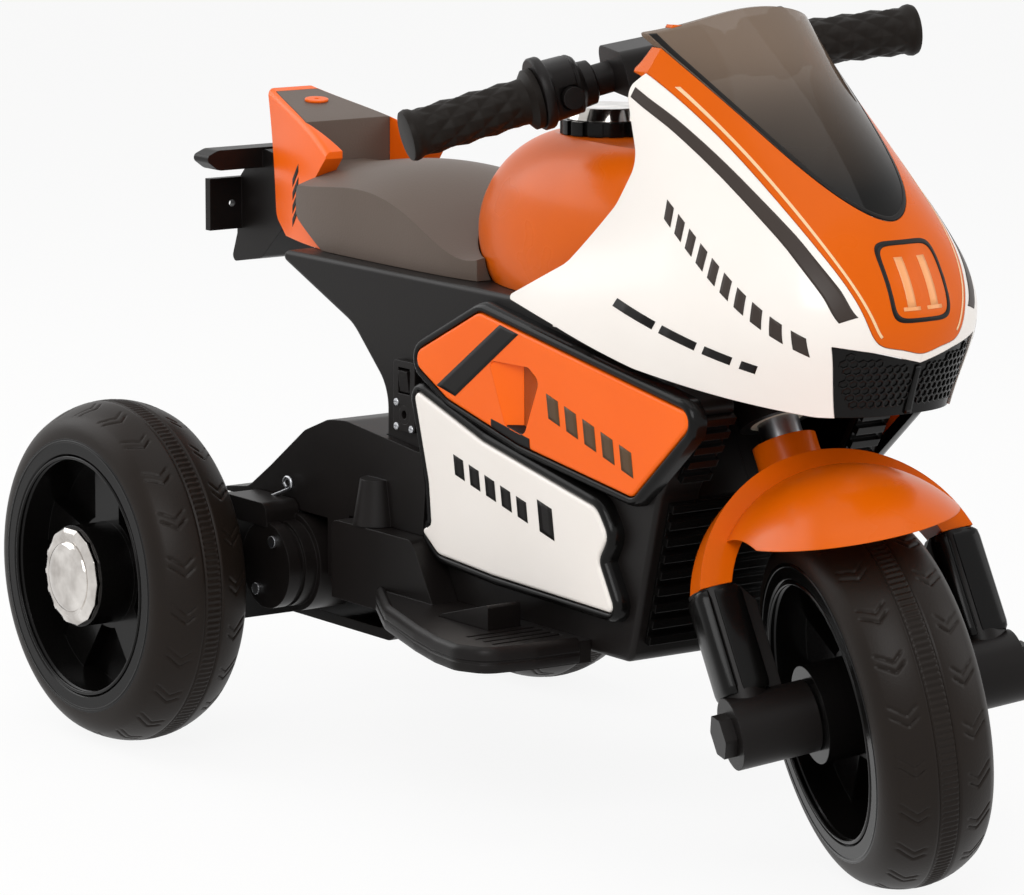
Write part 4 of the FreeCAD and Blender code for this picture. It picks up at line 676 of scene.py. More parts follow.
@dataclass
class Decal:
    """Thin printed film: flat patches laid onto a CAD node along one axis, then given a slight thickness.

    A point that moves less than miss, in metres, found no shell.
    """

    name: str
    node: str
    axis: Axis
    finish: Finish
    lift: float = 0.12 * MM
    thickness: float = 0.1 * MM
    miss: float = 1e-5

    def build(self, patches: np.ndarray, slot: str = "black") -> None:
        """Makes one object of all patches.

        Args:
            patches: array of patches by rows by columns by 3, in metres, outside the node.
            slot: material slot of the record; not used.
        """
        count, rows, cols = patches.shape[:3]
        offsets = (np.arange(count) * rows * cols)[:, None, None]
        quads = (grid_quads(rows, cols)[None] + offsets).reshape(-1, 4)
        points = patches.reshape(-1, 3)
        outward = np.sign(points[:, self.axis.value].mean())
        corner = points[quads[0]]
        normal = np.cross(corner[1] - corner[0], corner[2] - corner[0])
        if normal[self.axis.value] * outward < 0:
            quads = quads[:, ::-1]
        piece = mesh_piece(self.name, points, quads, self.finish, closed=False)
        wrap = piece.modifiers.new("lay", "SHRINKWRAP")
        wrap.target = frame["nodes"][self.node]
        wrap.wrap_method = "PROJECT"
        wrap.use_project_x = self.axis is Axis.ACROSS
        wrap.use_project_y = self.axis is Axis.ALONG
        wrap.use_project_z = self.axis is Axis.DOWN
        wrap.use_negative_direction = outward > 0
        wrap.use_positive_direction = outward < 0
        wrap.offset = self.lift
        bake(piece)
        piece = self.trimmed(piece, points[0, self.axis.value])
        film = piece.modifiers.new("film", "SOLIDIFY")
        film.thickness = self.thickness
        film.offset = 1.0
        bake(piece)
        settle(piece, "chassis")

    def trimmed(self, piece: bpy.types.Object, level: float) -> bpy.types.Object:
        """Leaves out the faces with a corner that found no shell below it.

        Args:
            piece: the laid film.
            level: place on the axis where the film started, in metres.

        Returns:
            The film without those faces.
        """
        mesh = piece.data
        spots = np.empty(len(mesh.vertices) * 3, np.float32)
        mesh.vertices.foreach_get("co", spots)
        spots = spots.reshape(-1, 3)
        corners = np.empty(len(mesh.loops), np.int32)
        mesh.loops.foreach_get("vertex_index", corners)
        quads = corners.reshape(-1, 4)
        found = np.abs(spots[:, self.axis.value] - level) > self.miss
        used, numbers = np.unique(quads[found[quads].all(axis=1)], return_inverse=True)
        bpy.data.objects.remove(piece)
        return mesh_piece(self.name, spots[used], numbers.reshape(-1, 4), self.finish, closed=False)


def in_space(flat: np.ndarray, axis: Axis, level: float) -> np.ndarray:
    """Puts plane coordinates in millimetres at a level of the third axis, in metres.

    Args:
        flat: array that ends in two coordinates, in the order of the other two axes.
        axis: axis that the plane stands on.
        level: place on that axis in millimetres.

    Returns:
        Array that ends in three coordinates.
    """
    parts = [flat[..., 0], flat[..., 1]]
    parts.insert(axis.value, np.full(flat.shape[:-1], level))
    return np.stack(parts, -1) * MM


@dataclass
class Grips:
    """Hand grips with a field of pressed diamonds.

    Radius over length follows the turned profile; the diamonds are the lower of two crossing triangle waves.
    """

    stations: tuple = ((84, 10.2), (84, 19), (88, 19), (91.5, 14.6), (96, 14.2), (128, 14.6), (162, 14.6),
                       (164.5, 16), (167, 16.4), (169.5, 15.5), (170, 13), (170, 0))
    field: tuple[float, float] = (97.0, 160.0)
    rows: int = 70
    around: int = 112
    facets: int = 7
    pitch: float = 19.0
    depth: float = 1.5
    sunk: float = 0.35
    fade: float = 3.0
    core: float = 12.0

    def build(self, steering: Steering) -> None:
        """Makes both grips in place of the plain ones.

        Args:
            steering: turned rest position of the fork.
        """
        profile = np.array(self.stations)
        fine = np.linspace(*self.field, self.rows)
        field = np.stack([fine, np.interp(fine, profile[4:7, 0], profile[4:7, 1])], -1)
        s, a, r = revolved(np.concatenate([profile[:5], field, profile[6:]]), self.around)
        turns = self.facets * a / FULL_TURN
        waves = [np.abs((turns + way * s / self.pitch) % 1.0 - 0.5) for way in (1.0, -1.0)]
        start, stop = self.field
        share = np.clip((s - start) / self.fade, 0, 1) * np.clip((stop - s) / self.fade, 0, 1)
        r = r + share * self.depth * (np.minimum(*waves) * 2.0 - self.sunk) * (r > self.core)
        arm = np.stack([s, r * np.cos(a), r * np.sin(a)], -1)
        for name, side in SIDES:
            piece = grid_piece("grip_" + name, steering.on_bar(arm, side), GRIP_BLACK, False, True)
            settle(piece, "steering", "grips")


@dataclass
class Controls:
    """Switch drums beside the grips: a round shell with a wide flange, a narrow neck and a well for the button.

    The surface is a radius over length carried round the bar; a rounded square takes over in the shell's middle span,
    and from the neck on the shell stands a little higher than the bar.
    """

    stations: tuple = ((46, 0), (46, 12.5), (47, 14), (54, 14.5), (56, 17), (58, 18.4), (59, 18.4), (59.6, 17.8),
                       (60.4, 17.8), (61, 18.6), (74, 19), (76, 19.4), (77, 22.5), (78, 23), (82.4, 23), (83.4, 22.2),
                       (83.4, 0))
    around: int = 96
    square_span: tuple[float, float] = (56.0, 76.5)
    square_share: float = 0.6
    neck: float = 54.0
    raised: float = 2.0
    button: tuple[float, float, float] = (66.0, -19.0, -2.0)
    well: tuple = ((-12.0, 0.0), (-12.0, 7.4), (6.6, 7.4), (6.6, 0.0))
    well_around: int = 48

    def build(self, steering: Steering) -> None:
        """Makes both drums in place of the plain housings.

        Args:
            steering: turned rest position of the fork.
        """
        s, a, r = revolved(self.stations, self.around)
        square = (np.abs(np.cos(a)) ** 4 + np.abs(np.sin(a)) ** 4) ** -0.25
        squared = (s > self.square_span[0]) & (s < self.square_span[1])
        r = r * (1.0 + (square - 1.0) * self.square_share * squared)
        tube = np.stack([s, r * np.cos(a), r * np.sin(a) + self.raised * (s > self.neck) * (r > 1.0)], -1)
        depth, turn, reach = revolved(self.well, self.well_around)
        hole = np.stack([reach * np.cos(turn), depth, reach * np.sin(turn)], -1) + np.array(self.button)
        for name, side in SIDES:
            shell = grid_piece("switch_drum_" + name, steering.on_bar(tube, side), BLACK, False, True)
            cutter = grid_piece("switch_well_" + name, steering.on_bar(hole, side), BLACK, False, True)
            carve = shell.modifiers.new("well", "BOOLEAN")
            carve.object = cutter
            carve.solver = "EXACT"
            bake(shell)
            bpy.data.objects.remove(cutter)
            settle(shell, "steering", "controls")


@dataclass
class HubCaps:
    """Plated caps of the rear wheels: a faceted outer ring, a groove and a flat disc.

    The radius over length is carried round the axle; outside the given radius it follows a polygon, not a circle.
    """

    stations: tuple = ((207, 20.5), (207, 33), (210.5, 33), (212.2, 31), (213.4, 27), (212.6, 25), (212.6, 23.6),
                       (214.4, 22.6), (215.4, 20), (215.9, 15), (216, 8), (216, 0), (213, 0), (213, 18))
    facets: int = 14
    per_facet: int = 12
    faceted_from: float = 26.0

    def build(self) -> None:
        """Makes both caps in place of the plain ones."""
        s, a, r = revolved(self.stations, self.facets * self.per_facet)
        step = FULL_TURN / self.facets
        flat = math.cos(step / 2) / np.cos(a % step - step / 2)
        r = np.where(r > self.faceted_from, r * flat, r)
        _, y, z = REAR_WHEEL
        for name, side in SIDES:
            points = np.stack([side * s, y + r * np.cos(a), z + r * np.sin(a)], -1) * MM
            piece = grid_piece("faceted_cap_" + name, points, CHROME, True, True)
            settle(piece, "rear_wheel_" + name, "hub_cap_" + name)


@dataclass
class RimBeads:
    """Two raised beads on each lip of the rims, one at its inner edge and one beside the tyre.

    A round section, sunk into the lip, is carried round the axle.
    """

    radii: tuple[float, float] = (79.2, 90.0)
    tube: float = 1.3
    face: float = 35.1
    around: int = 180
    tube_around: int = 12

    def build(self, steering: Steering) -> None:
        """Makes the beads of the three wheels, one object per wheel and bead.

        Args:
            steering: turned rest position of the fork.
        """
        turn, tube = np.meshgrid(ring(self.around), ring(self.tube_around), indexing="ij")
        for i, radius in enumerate(self.radii):
            r = radius + self.tube * np.cos(tube)
            for label, side in (("out", -1.0), ("in", 1.0)):
                across = side * (self.face + self.tube * np.sin(tube))
                bead = np.stack([across, r * np.cos(turn), r * np.sin(turn)], -1) * MM
                for body, points in steering.wheels(bead):
                    name = "rim_bead_%s_%s_%d" % (body, label, i + 1)
                    settle(grid_piece(name, points, GLOSS_BLACK, True, True), body)


@dataclass
class Lamp:
    """Honeycomb over the lamp insert, with the ridge down its middle.

    A hexagon ring stands on every point of a staggered grid that lies inside the lamp's field. top and side give the
    field's edges, and the margins keep the cells off its top, its foot, its sides and the ridge. The films' two
    numbers are lift and thickness.
    """

    top: tuple = ((0.0, 27.0, 54.0), (321.0, 328.0, 333.0))
    side: tuple = ((289.0, 333.0), (44.0, 54.0))
    foot: float = 289.0
    margins: tuple[float, float, float, float] = (4.5, 4.5, 5.5, 4.6)
    columns: int = 14
    rows: int = 13
    pitch: float = 4.8
    web: float = 0.7
    level: float = -400.0
    ridge: tuple = ((-2.6, 290.0), (-1.6, 319.5), (1.6, 319.5), (2.6, 290.0))
    cell_film: tuple[float, float] = (0.05, 0.9)
    ridge_film: tuple[float, float] = (0.0, 1.4)

    def build(self) -> None:
        """Lays the lattice and the ridge onto the insert."""
        rise = self.foot + np.arange(1, self.rows + 1) * self.pitch * math.sqrt(0.75)
        across, up = np.meshgrid(np.arange(-self.columns, self.columns + 1) * self.pitch, rise, indexing="ij")
        across = across + np.where(np.arange(self.rows) % 2, self.pitch / 2, 0.0)
        wide = np.abs(across)
        over, under, beside, between = self.margins
        inside = (up < np.interp(wide, *self.top) - over) & (up > self.foot + under)
        inside &= (wide < np.interp(up, *self.side) - beside) & (wide > between)
        middle = np.stack([across[inside], up[inside]], -1)
        turn = math.pi / 6 + np.arange(7) * math.pi / 3
        reach = self.pitch / math.sqrt(3.0) - np.array([self.web, 0.0])
        cell = reach[:, None, None] * np.stack([np.cos(turn), np.sin(turn)], -1)
        for name, flat, film_mm in (("lamp_honeycomb", middle[:, None, None, :] + cell, self.cell_film),
                                    ("lamp_ridge", patch(self.ridge), self.ridge_film)):
            film = Decal(name, "lamp_grille", Axis.ALONG, GLOSS_BLACK, *(size * MM for size in film_mm))
            film.build(in_space(flat, Axis.ALONG, self.level))


@dataclass(frozen=True)
class BarRow:
    """Row of slanted bars in a plane, in millimetres.

    start is the row's foot, step its direction and up the lean; sizes holds place, width and height of every bar.
    A node that ends in an underscore is one of a left and right pair.
    """

    name: str
    node: str
    ink: Finish
    start: tuple[float, float]
    step: tuple[float, float]
    up: tuple[float, float]
    sizes: tuple[tuple[float, float, float], ...]

    def flat(self, rows: int = 7, cols: int = 4) -> np.ndarray:
        """Points of the bars: each is the parallelogram of its width along the row and its height along the lean.

        Args:
            rows: points along the height.
            cols: points along the width.

        Returns:
            Array of bars by rows by columns by 2.
        """
        place = np.array(self.sizes)[:, None, None, :]
        tall, wide = np.meshgrid(np.linspace(0.0, 1.0, rows), np.linspace(0.0, 1.0, cols), indexing="ij")
        along = place[..., 0] + place[..., 1] * wide
        rise = place[..., 2] * tall
        return np.array(self.start) + along[..., None] * np.array(self.step) + rise[..., None] * np.array(self.up)


def even_bars(count: int, pitch: float, width: float, height: float) -> tuple:
    """Sizes of a row of like bars."""
    return tuple((pitch * i, width, height) for i in range(count))


BAR_ROWS = (
    BarRow("fairing_bars", "fairing_", INK_GREY, (-181.0, 397.0), (-0.856, -0.517), (0.0, 1.0),
           even_bars(10, 14.2, 8.6, 11.5)),
    BarRow("fairing_dashes", "fairing_", INK_BLACK, (-150.0, 342.0), (-0.97, -0.24), (-0.55, 0.84),
           ((0, 40, 6), (46, 30, 6), (82, 20, 6), (108, 10, 6))),
    BarRow("panel_bars", "side_panels", INK_BROWN, (-80.0, 263.0), (-0.962, -0.272), (0.16, 0.987),
           even_bars(5, 19.5, 12.5, 15.5)),
    BarRow("lower_bars", "lower_panels", INK_BLACK, (20.0, 213.0), (-0.972, -0.236), (0.16, 0.987),
           even_bars(5, 17.5, 11.0, 13.0) + ((94, 16, 20),)),
    BarRow("tail_bars", "tail_cover", INK_BLACK, (276.0, 340.0), (0.3, 0.954), (-0.6, 0.8),
           even_bars(4, 9.0, 5.5, 14.0)),
)


@dataclass
class Graphics:
    """Printed films of plain bars, stripes and a number frame on the shells, and a pocket film partly of painted
    shadow.

    Curves and corners are in millimetres, in the front view or the side view; the pairs called away bound a ribbon
    beside its curve.
    """

    nose_edge: tuple = ((0, 327), (14, 330), (29, 334), (38, 350), (50, 387), (58, 439), (67, 486), (70, 520))
    pin_span: tuple[float, float] = (336.0, 474.0)
    pin_away: tuple[float, float] = (-4.2, -2.6)
    screen_edge: tuple = ((0, 402), (19, 410), (33, 427), (46, 458), (56, 488), (60, 503))
    screen_away: tuple[float, float] = (-2.6, -0.4)
    stripe: tuple = ((-138, 471.5), (-148.3, 467.1), (-178.6, 454), (-217, 432.9), (-263.1, 404), (-287, 386.3),
                     (-306.4, 367.5), (-316.6, 350.5))
    stripe_away: tuple[float, float] = (-6.4, 0.2)
    band: tuple = ((-28, 314.9), (40.5, 267.7), (20, 263.4), (-48, 311.3))
    # Foot of the grip pocket: black, partly the border's own and partly painted shadow.
    mouth: tuple = ((-19, 254.4), (-60, 247.4), (-61, 238.8), (-19, 247.0))
    plug_half: tuple[float, float] = (9.0, 5.5)
    plug_mid: tuple[float, float] = (0.0, 316.0)
    plug_height: float = 1.6
    number_mid: tuple[float, float] = (0.0, 369.0)
    frame_half: tuple[float, float] = (22.5, 23.0)
    frame_share: tuple[float, float] = (0.88, 0.885)
    frame_power: float = 6.0
    stroke_x: float = 8.5
    strokes: tuple = ((3, 355, 383), (6, 353, 355.2))
    front: float = -420.0
    out: float = 220.0
    above: float = 600.0

    def build(self) -> None:
        """Lays every film, on both sides where the shells are mirrored."""
        edge = smooth_path(self.nose_edge, count=400)
        low, high = self.pin_span
        pin = edge[(edge[:, 1] > low) & (edge[:, 1] < high)][::4]
        screen = smooth_path(tuple((-x, z) for x, z in self.screen_edge[:0:-1]) + self.screen_edge, count=160)
        stripe = ribbon(smooth_path(self.stripe, count=120), *self.stripe_away, cols=7)
        self.lay("screen_rim", "windscreen", INK_BLACK, ribbon(screen, *self.screen_away), Axis.ALONG, paired=False)
        self.lay("nose_stripe", "fairing_", INK_GREY, stripe)
        self.lay("nose_pin", "nose_panel", INK_CREAM, ribbon(pin, *self.pin_away), Axis.ALONG, "white")
        self.lay("panel_band", "side_panels", INK_BLACK, patch(self.band, rows=24, cols=6))
        # Black film in the pocket's foot: partly the border showing through, partly painted shadow.
        self.lay("pocket_mouth", "side_panels", INK_BLACK, patch(self.mouth, rows=30, cols=14))
        for row in BAR_ROWS:
            self.lay(row.name, row.node, row.ink, row.flat())
        share, turn = np.meshgrid(np.linspace(0.0, 1.0, 6), np.linspace(0.0, FULL_TURN, 41), indexing="ij")
        disc = share[..., None] * np.stack([np.cos(turn), np.sin(turn)], -1)
        oval = np.array(self.plug_mid) + np.array(self.plug_half) * disc
        plug = Decal("tail_plug", "tail_insert", Axis.DOWN, ORANGE, lift=0.0, thickness=self.plug_height * MM)
        plug.build(in_space(oval[None], Axis.DOWN, self.above), slot="orange")
        self.number()

    def number(self) -> None:
        """Lays the rounded frame and its plain number onto the nose.

        The frame's outline is a superellipse, and the number is two upright bars with feet.
        """
        turn = np.linspace(0.0, FULL_TURN, 97)
        wave = np.stack([np.cos(turn), np.sin(turn)], -1)
        square = np.array(self.frame_half) * np.sign(wave) * np.abs(wave) ** (2.0 / self.frame_power)
        line = np.stack([square, square * np.array(self.frame_share)], 1) + np.array(self.number_mid)
        bars = [patch(((x - half, low), (x - half, high), (x + half, high), (x + half, low)), rows=8, cols=4)
                for half, low, high in self.strokes for x in (-self.stroke_x, self.stroke_x)]
        self.lay("number_frame", "nose_panel", INK_BLACK, line[None], Axis.ALONG, paired=False)
        self.lay("number_strokes", "nose_panel", INK_PEACH, np.concatenate(bars), Axis.ALONG, "orange", paired=False)

    def lay(self, name: str, node: str, ink: Finish, flat: np.ndarray, axis: Axis = Axis.ACROSS, slot: str = "black",
            paired: bool = True) -> None:
        """Lays one set of flat patches, once or on both sides.

        Args:
            name: object name, to which a pair adds its side.
            node: CAD node that carries the film; one that ends in an underscore is completed by the side.
            ink: finish of the film.
            flat: patches in the plane, in millimetres.
            axis: direction of laying.
            slot: material slot of the record.
            paired: whether both sides get the film.
        """
        for label, side in SIDES if paired else (("", 1.0),):
            placed = in_space(flat, axis, side * self.out if axis is Axis.ACROSS else self.front)
            if axis is Axis.ALONG:
                placed = placed * np.array([side, 1.0, 1.0])
            title = name + "_" + label if paired else name
            shell = node + label if node.endswith("_") else node
            Decal(title, shell, axis, ink).build(placed, slot=slot)


@dataclass
class Fixings:
    """Small domed screw heads with a cross slot, on the charging plate.

    A head is a flattened dome; its height drops along two crossing lines to give the slot.
    """

    radius: float = 2.6
    height: float = 1.4
    cut_half: float = 0.35
    cut_reach: float = 0.75
    cut_depth: float = 0.6
    sunk: float = 0.1
    rings: int = 15
    around: int = 48
    plate: tuple = ((-87.3, 75.6, 233.6), (-87.3, 92.4, 249.4), (-87.3, 92.4, 233.6))

    def build(self) -> None:
        """Makes the heads."""
        share, turn = np.meshgrid(np.linspace(0.0, 1.0, self.rings), ring(self.around), indexing="ij")
        y, z = share * self.radius * np.cos(turn), share * self.radius * np.sin(turn)
        dome = self.height * np.sqrt(np.clip(1.0 - share ** 3, 0.0, 1.0))
        cross = (np.minimum(np.abs(y), np.abs(z)) < self.cut_half) & (share < self.cut_reach)
        top = np.stack([-dome + self.cut_depth * cross, y, z], -1)
        foot = np.stack([np.full_like(y[:2], self.sunk), y[[-1, 0]], z[[-1, 0]]], -1)
        head = np.concatenate([top, foot])
        for i, place in enumerate(self.plate):
            piece = grid_piece("plate_screw_%d" % (i + 1), (head + np.array(place)) * MM, ZINC, False, True)
            settle(piece, "chassis")


@dataclass
class PocketScoop:
    """Sloped rear face, front wall in painted shade and dark foot in the sunk grip of the side panels.

    Every filler is a loft of closed sections between two lines of the side view.
    """

    rear: tuple = ((-16.0, 290.6), (-33.4, 252.4))
    fold: tuple = ((-46.0, 291.2), (-46.5, 250.8))
    front: tuple = ((-60.0, 291.2), (-69.4, 284.6), (-64.4, 272.4), (-54.8, 249.4))
    foot: tuple = ((-35.4, 251.7), (-53.2, 248.2))
    foot_section: tuple = ((86.0, -0.3), (86.0, 4.0), (91.9, 0.4), (91.9, -0.3))
    floor: float = 86.05
    base: float = 85.95
    face: float = 92.03
    rows: int = 14
    cols: int = 9

    def line(self, corners: tuple) -> np.ndarray:
        """Evenly spread points of a line through plane points, as rows by 1 by 2."""
        at, table = np.linspace(0.0, len(corners) - 1.0, self.rows), np.array(corners)
        return np.stack([np.interp(at, np.arange(len(table)), table[:, i]) for i in range(2)], -1)[:, None, :]

    def wedge(self, first: tuple, last: tuple, height: np.ndarray) -> np.ndarray:
        """Sections of a filler between two lines.

        Args:
            first: line where the filler starts.
            last: line where it ends.
            height: share of the depth that is filled, from first to last.

        Returns:
            Array of rows by points by 3: distance from the middle plane, then the place in the side view.
        """
        share = np.linspace(0.0, 1.0, self.cols)[None, :, None]
        flat = self.line(first) * (1.0 - share) + self.line(last) * share
        level = (self.floor + (self.face - self.floor) * height)[None, :, None]
        upper = np.concatenate([np.broadcast_to(level, flat.shape[:2] + (1,)), flat], -1)
        lower = upper[:, ::-1] * np.array([0.0, 1.0, 1.0]) + np.array([self.base, 0.0, 0.0])
        return np.concatenate([upper, lower], 1)

    def build(self) -> None:
        """Makes the three fillers on both sides."""
        share = np.linspace(0.0, 1.0, self.cols)
        section = np.array(self.foot_section)
        rise = self.line(self.foot) + section[:, 1:] * np.array([0.0, 1.0])
        foot = np.concatenate([np.broadcast_to(section[:, :1], rise.shape[:2] + (1,)), rise], -1)
        # Painted shade: the wall's browner orange; the black foot is partly the border, partly painted shadow.
        fillers = (("pocket_ramp", self.wedge(self.rear, self.fold, 1.0 - share), ORANGE, "orange"),
                   ("pocket_wall", self.wedge(self.fold, self.front, share ** 2), SHADED_ORANGE, "orange"),
                   ("pocket_foot", foot, GLOSS_BLACK, "black"))
        for kind, rows, finish, slot in fillers:
            for name, side in SIDES:
                points = capped(rows) * np.array([side, 1.0, 1.0]) * MM
                settle(grid_piece("%s_%s" % (kind, name), points, finish, False, True), "chassis")


@dataclass
class Border:
    """Section carried along an outline whose corners are arcs of the given radii.

    spacing is the distance of the sections, and arc_points is the number of points of one corner.
    """

    spacing: float = 2.4
    arc_points: int = 9

    def outline(self, corners: tuple) -> np.ndarray:
        """Evenly spaced points of the rounded outline.

        At every corner the arc touches both sides; its centre lies on the bisector at radius over sine of half the
        angle.

        Args:
            corners: plane points with the radius of each corner.

        Returns:
            Array of points by 2.
        """
        table = np.array(corners, float)
        p, r = table[:, :2], table[:, 2:]
        before, after = (unit(np.roll(p, step, axis=0) - p) for step in (1, -1))
        half = np.arccos(np.clip((before * after).sum(1, keepdims=True), -1.0, 1.0)) / 2.0
        centre = p + unit(before + after) * r / np.sin(half)
        first, last = (p + d * r / np.tan(half) - centre for d in (before, after))
        start, stop = (np.arctan2(d[:, 1:], d[:, :1]) for d in (first, last))
        sweep = (stop - start + math.pi) % FULL_TURN - math.pi
        angle = start + sweep * np.linspace(0.0, 1.0, self.arc_points)
        arcs = centre[:, None, :] + r[:, None, :] * np.stack([np.cos(angle), np.sin(angle)], -1)
        loop = np.concatenate([arcs.reshape(-1, 2), arcs.reshape(-1, 2)[:1]])
        length = np.concatenate([[0.0], np.cumsum(np.linalg.norm(np.diff(loop, axis=0), axis=1))])
        even = np.linspace(0.0, length[-1], int(length[-1] / self.spacing), endpoint=False)
        return np.stack([np.interp(even, length, loop[:, i]) for i in range(2)], -1)

    def carried(self, path: np.ndarray, profile: tuple) -> tuple[np.ndarray, np.ndarray]:
        """Carries the section along a closed path, outwards.

        Args:
            path: points of the outline.
            profile: distance outwards and height of every point of the section.

        Returns:
            Plane points, as path by section by 2, and the height of each over the plane.
        """
        section = np.array(profile)
        ahead = np.roll(path, -1, axis=0)
        area = (path[:, 0] * ahead[:, 1] - path[:, 1] * ahead[:, 0]).sum()
        normal = right_of(unit(ahead - np.roll(path, 1, axis=0))) * np.sign(area)
        flat = path[:, None, :] + normal[:, None, :] * section[None, :, :1]
        return flat, np.broadcast_to(section[:, 1], flat.shape[:2])


@dataclass
class PanelTrim(Border):
    """Raised black border round the side panels, so that they lie as inlays: a low rounded section."""

    orange: tuple = ((74, 282, 8), (-4, 320, 14), (-228, 284, 8), (-206, 264, 14), (-164, 226, 8), (-46, 242, 20),
                     (30, 260, 20))
    white: tuple = ((68, 262, 4), (-8, 238, 30), (-128, 214, 14), (-140, 198, 8), (-130, 182, 8), (-148, 151, 4),
                    (-20, 154, 40), (40, 158, 12), (60, 172, 6), (48, 176, 4), (51, 204, 20))
    section: tuple = ((0.5, -0.6), (0.5, 8.2), (1.2, 9.2), (2.4, 9.6), (4.2, 9.2), (5.8, 7.6), (6.8, 4.6), (7.2, -0.6))
    base: float = 82.0

    def build(self) -> None:
        """Makes the borders of both panels on both sides."""
        for kind, corners in (("upper", self.orange), ("lower", self.white)):
            flat, level = self.carried(self.outline(corners), self.section)
            for name, side in SIDES:
                points = np.stack([side * (self.base + level), flat[..., 0], flat[..., 1]], -1) * MM
                piece = grid_piece("panel_border_%s_%s" % (kind, name), points, GLOSS_BLACK, True, True)
                settle(piece, "chassis")


@dataclass
class FootRims(Border):
    """Rolled outer edge of the footboards with a seam below it, carried along the board's plan."""

    plan: tuple = ((0, -112, 1), (40, -110, 20), (74, -104, 16), (83, -84, 16), (80, -58, 20), (71, -24, 40),
                   (50, 40, 50), (20, 94, 16), (0, 98, 1))
    section: tuple = ((-5.2, 127.6), (-4.6, 129.2), (-2.8, 130.2), (-0.8, 129.4), (0.7, 127.4), (1.0, 124.6),
                      (1.0, 122.0), (0.2, 121.2), (0.2, 120.2), (1.0, 119.4), (1.0, 116.0), (0.3, 114.6), (-5.2, 114.6))
    base: float = 82.3
    inner: float = 8.0

    def build(self) -> None:
        """Makes the rim of both boards, open towards the body."""
        path = self.outline(self.plan)
        outer = path[:, 0] > self.inner
        first = int(np.argmax(outer & ~np.roll(outer, 1)))
        order = (first + np.arange(int(outer.sum()))) % len(path)
        flat, level = (grid[order] for grid in self.carried(path, self.section))
        for name, side in SIDES:
            points = np.stack([side * (self.base + flat[..., 0]), flat[..., 1], level], -1) * MM
            settle(grid_piece("foot_rim_" + name, capped(points), BLACK, False, True), "chassis")


@dataclass
class NoseTrim:
    """Orange nose whose upper corners end in a point beside the screen."""

    corner: tuple[float, float] = (57.0, 498.0)
    normal: tuple[float, float] = (27.0, 14.0)
    crease: float = 0.5

    def build(self) -> None:
        """Cuts both upper corners off a copy of the nose and closes the cuts."""
        work = bmesh.new()
        work.from_mesh(frame["nodes"]["nose_panel"].data)
        bmesh.ops.remove_doubles(work, verts=work.verts, dist=WELD)
        for _, side in SIDES:
            bmesh.ops.bisect_plane(work, geom=work.verts[:] + work.edges[:] + work.faces[:], clear_outer=True,
                                   plane_co=(side * self.corner[0] * MM, 0.0, self.corner[1] * MM),
                                   plane_no=(side * self.normal[0], 0.0, self.normal[1]))
            bmesh.ops.holes_fill(work, edges=[e for e in work.edges if e.is_boundary])
        bmesh.ops.recalc_face_normals(work, faces=work.faces)
        piece = shown("nose_shell", work, bpy.data.meshes.new("nose_shell"), DEEP_ORANGE, self.crease)
        settle(piece, "chassis", "nose_panel")


@dataclass
class ForkSleeves:
    """Squared sleeves over the fork legs, with a groove down the front of each.

    The section is a superellipse; its radius drops in the groove, and the ends taper onto the round leg.
    """

    axle: tuple[float, float] = (-0.2957, 0.115)
    spread: float = 77.0
    ends: tuple = ((21.0, 14.0), (23.0, 15.2), (26.0, 15.6), (80.0, 15.6), (84.0, 15.2), (85.6, 14.0))
    around: int = 144
    power: float = 5.0
    square_share: float = 0.8
    groove_angle: float = 1.5 * math.pi - 0.35
    groove_half: float = 0.09
    groove_depth: float = 1.6
    bore: float = 11.0

    def build(self, steering: Steering) -> None:
        """Makes both sleeves.

        Args:
            steering: turned rest position of the fork.
        """
        up, a, size = revolved(self.ends, self.around)
        square = (np.abs(np.cos(a)) ** self.power + np.abs(np.sin(a)) ** self.power) ** (-1.0 / self.power)
        off = np.abs((a - self.groove_angle + math.pi) % FULL_TURN - math.pi)
        r = size * (1.0 + (square - 1.0) * self.square_share) - self.groove_depth * (off < self.groove_half)
        r = np.concatenate([r, np.full_like(r[:2], self.bore)])
        wide, fore = r * np.cos(a[0]), -r * np.sin(a[0])
        rise = np.concatenate([up, up[-1:], up[:1]])
        axis = steering.axis()
        front = np.array([0.0, -axis[2], axis[1]])
        lifted = fore[..., None] * front + rise[..., None] * axis
        for name, side in SIDES:
            straight = (side * self.spread + wide)[..., None] * np.array([1.0, 0.0, 0.0]) + lifted
            points = steering.turned(straight * MM + np.array([0.0, *self.axle]))
            settle(grid_piece("fork_sleeve_" + name, points, GLOSS_BLACK, True, True), "steering")


@dataclass
class RearHook:
    """Bent steel wire with an eyelet, hooked over the right cheek of the hood.

    A circle is carried along a smooth curve; each ring lies in the plane of the side normal and the curve's own normal.
    """

    knots: tuple = ((270, 150), (243.8, 162.5), (216, 173.2), (210, 176.4), (210.4, 181.2), (215.4, 182), (218, 178.4),
                    (215, 175.4))
    level: float = -92.0
    radius: float = 1.3
    rings: int = 90
    around: int = 16

    def build(self) -> None:
        """Makes the wire."""
        path = smooth_path(self.knots, self.rings)
        along = unit(np.gradient(path, axis=0))
        turn = ring(self.around)
        reach = np.full((self.rings, 1), self.radius)
        reach[[0, -1]] = 0.0
        side = self.level + reach * np.cos(turn)
        y = path[:, :1] - along[:, 1:] * reach * np.sin(turn)
        z = path[:, 1:] + along[:, :1] * reach * np.sin(turn)
        piece = grid_piece("rear_hook", np.stack([side, y, z], -1) * MM, ZINC, False, True)
        settle(piece, "chassis")


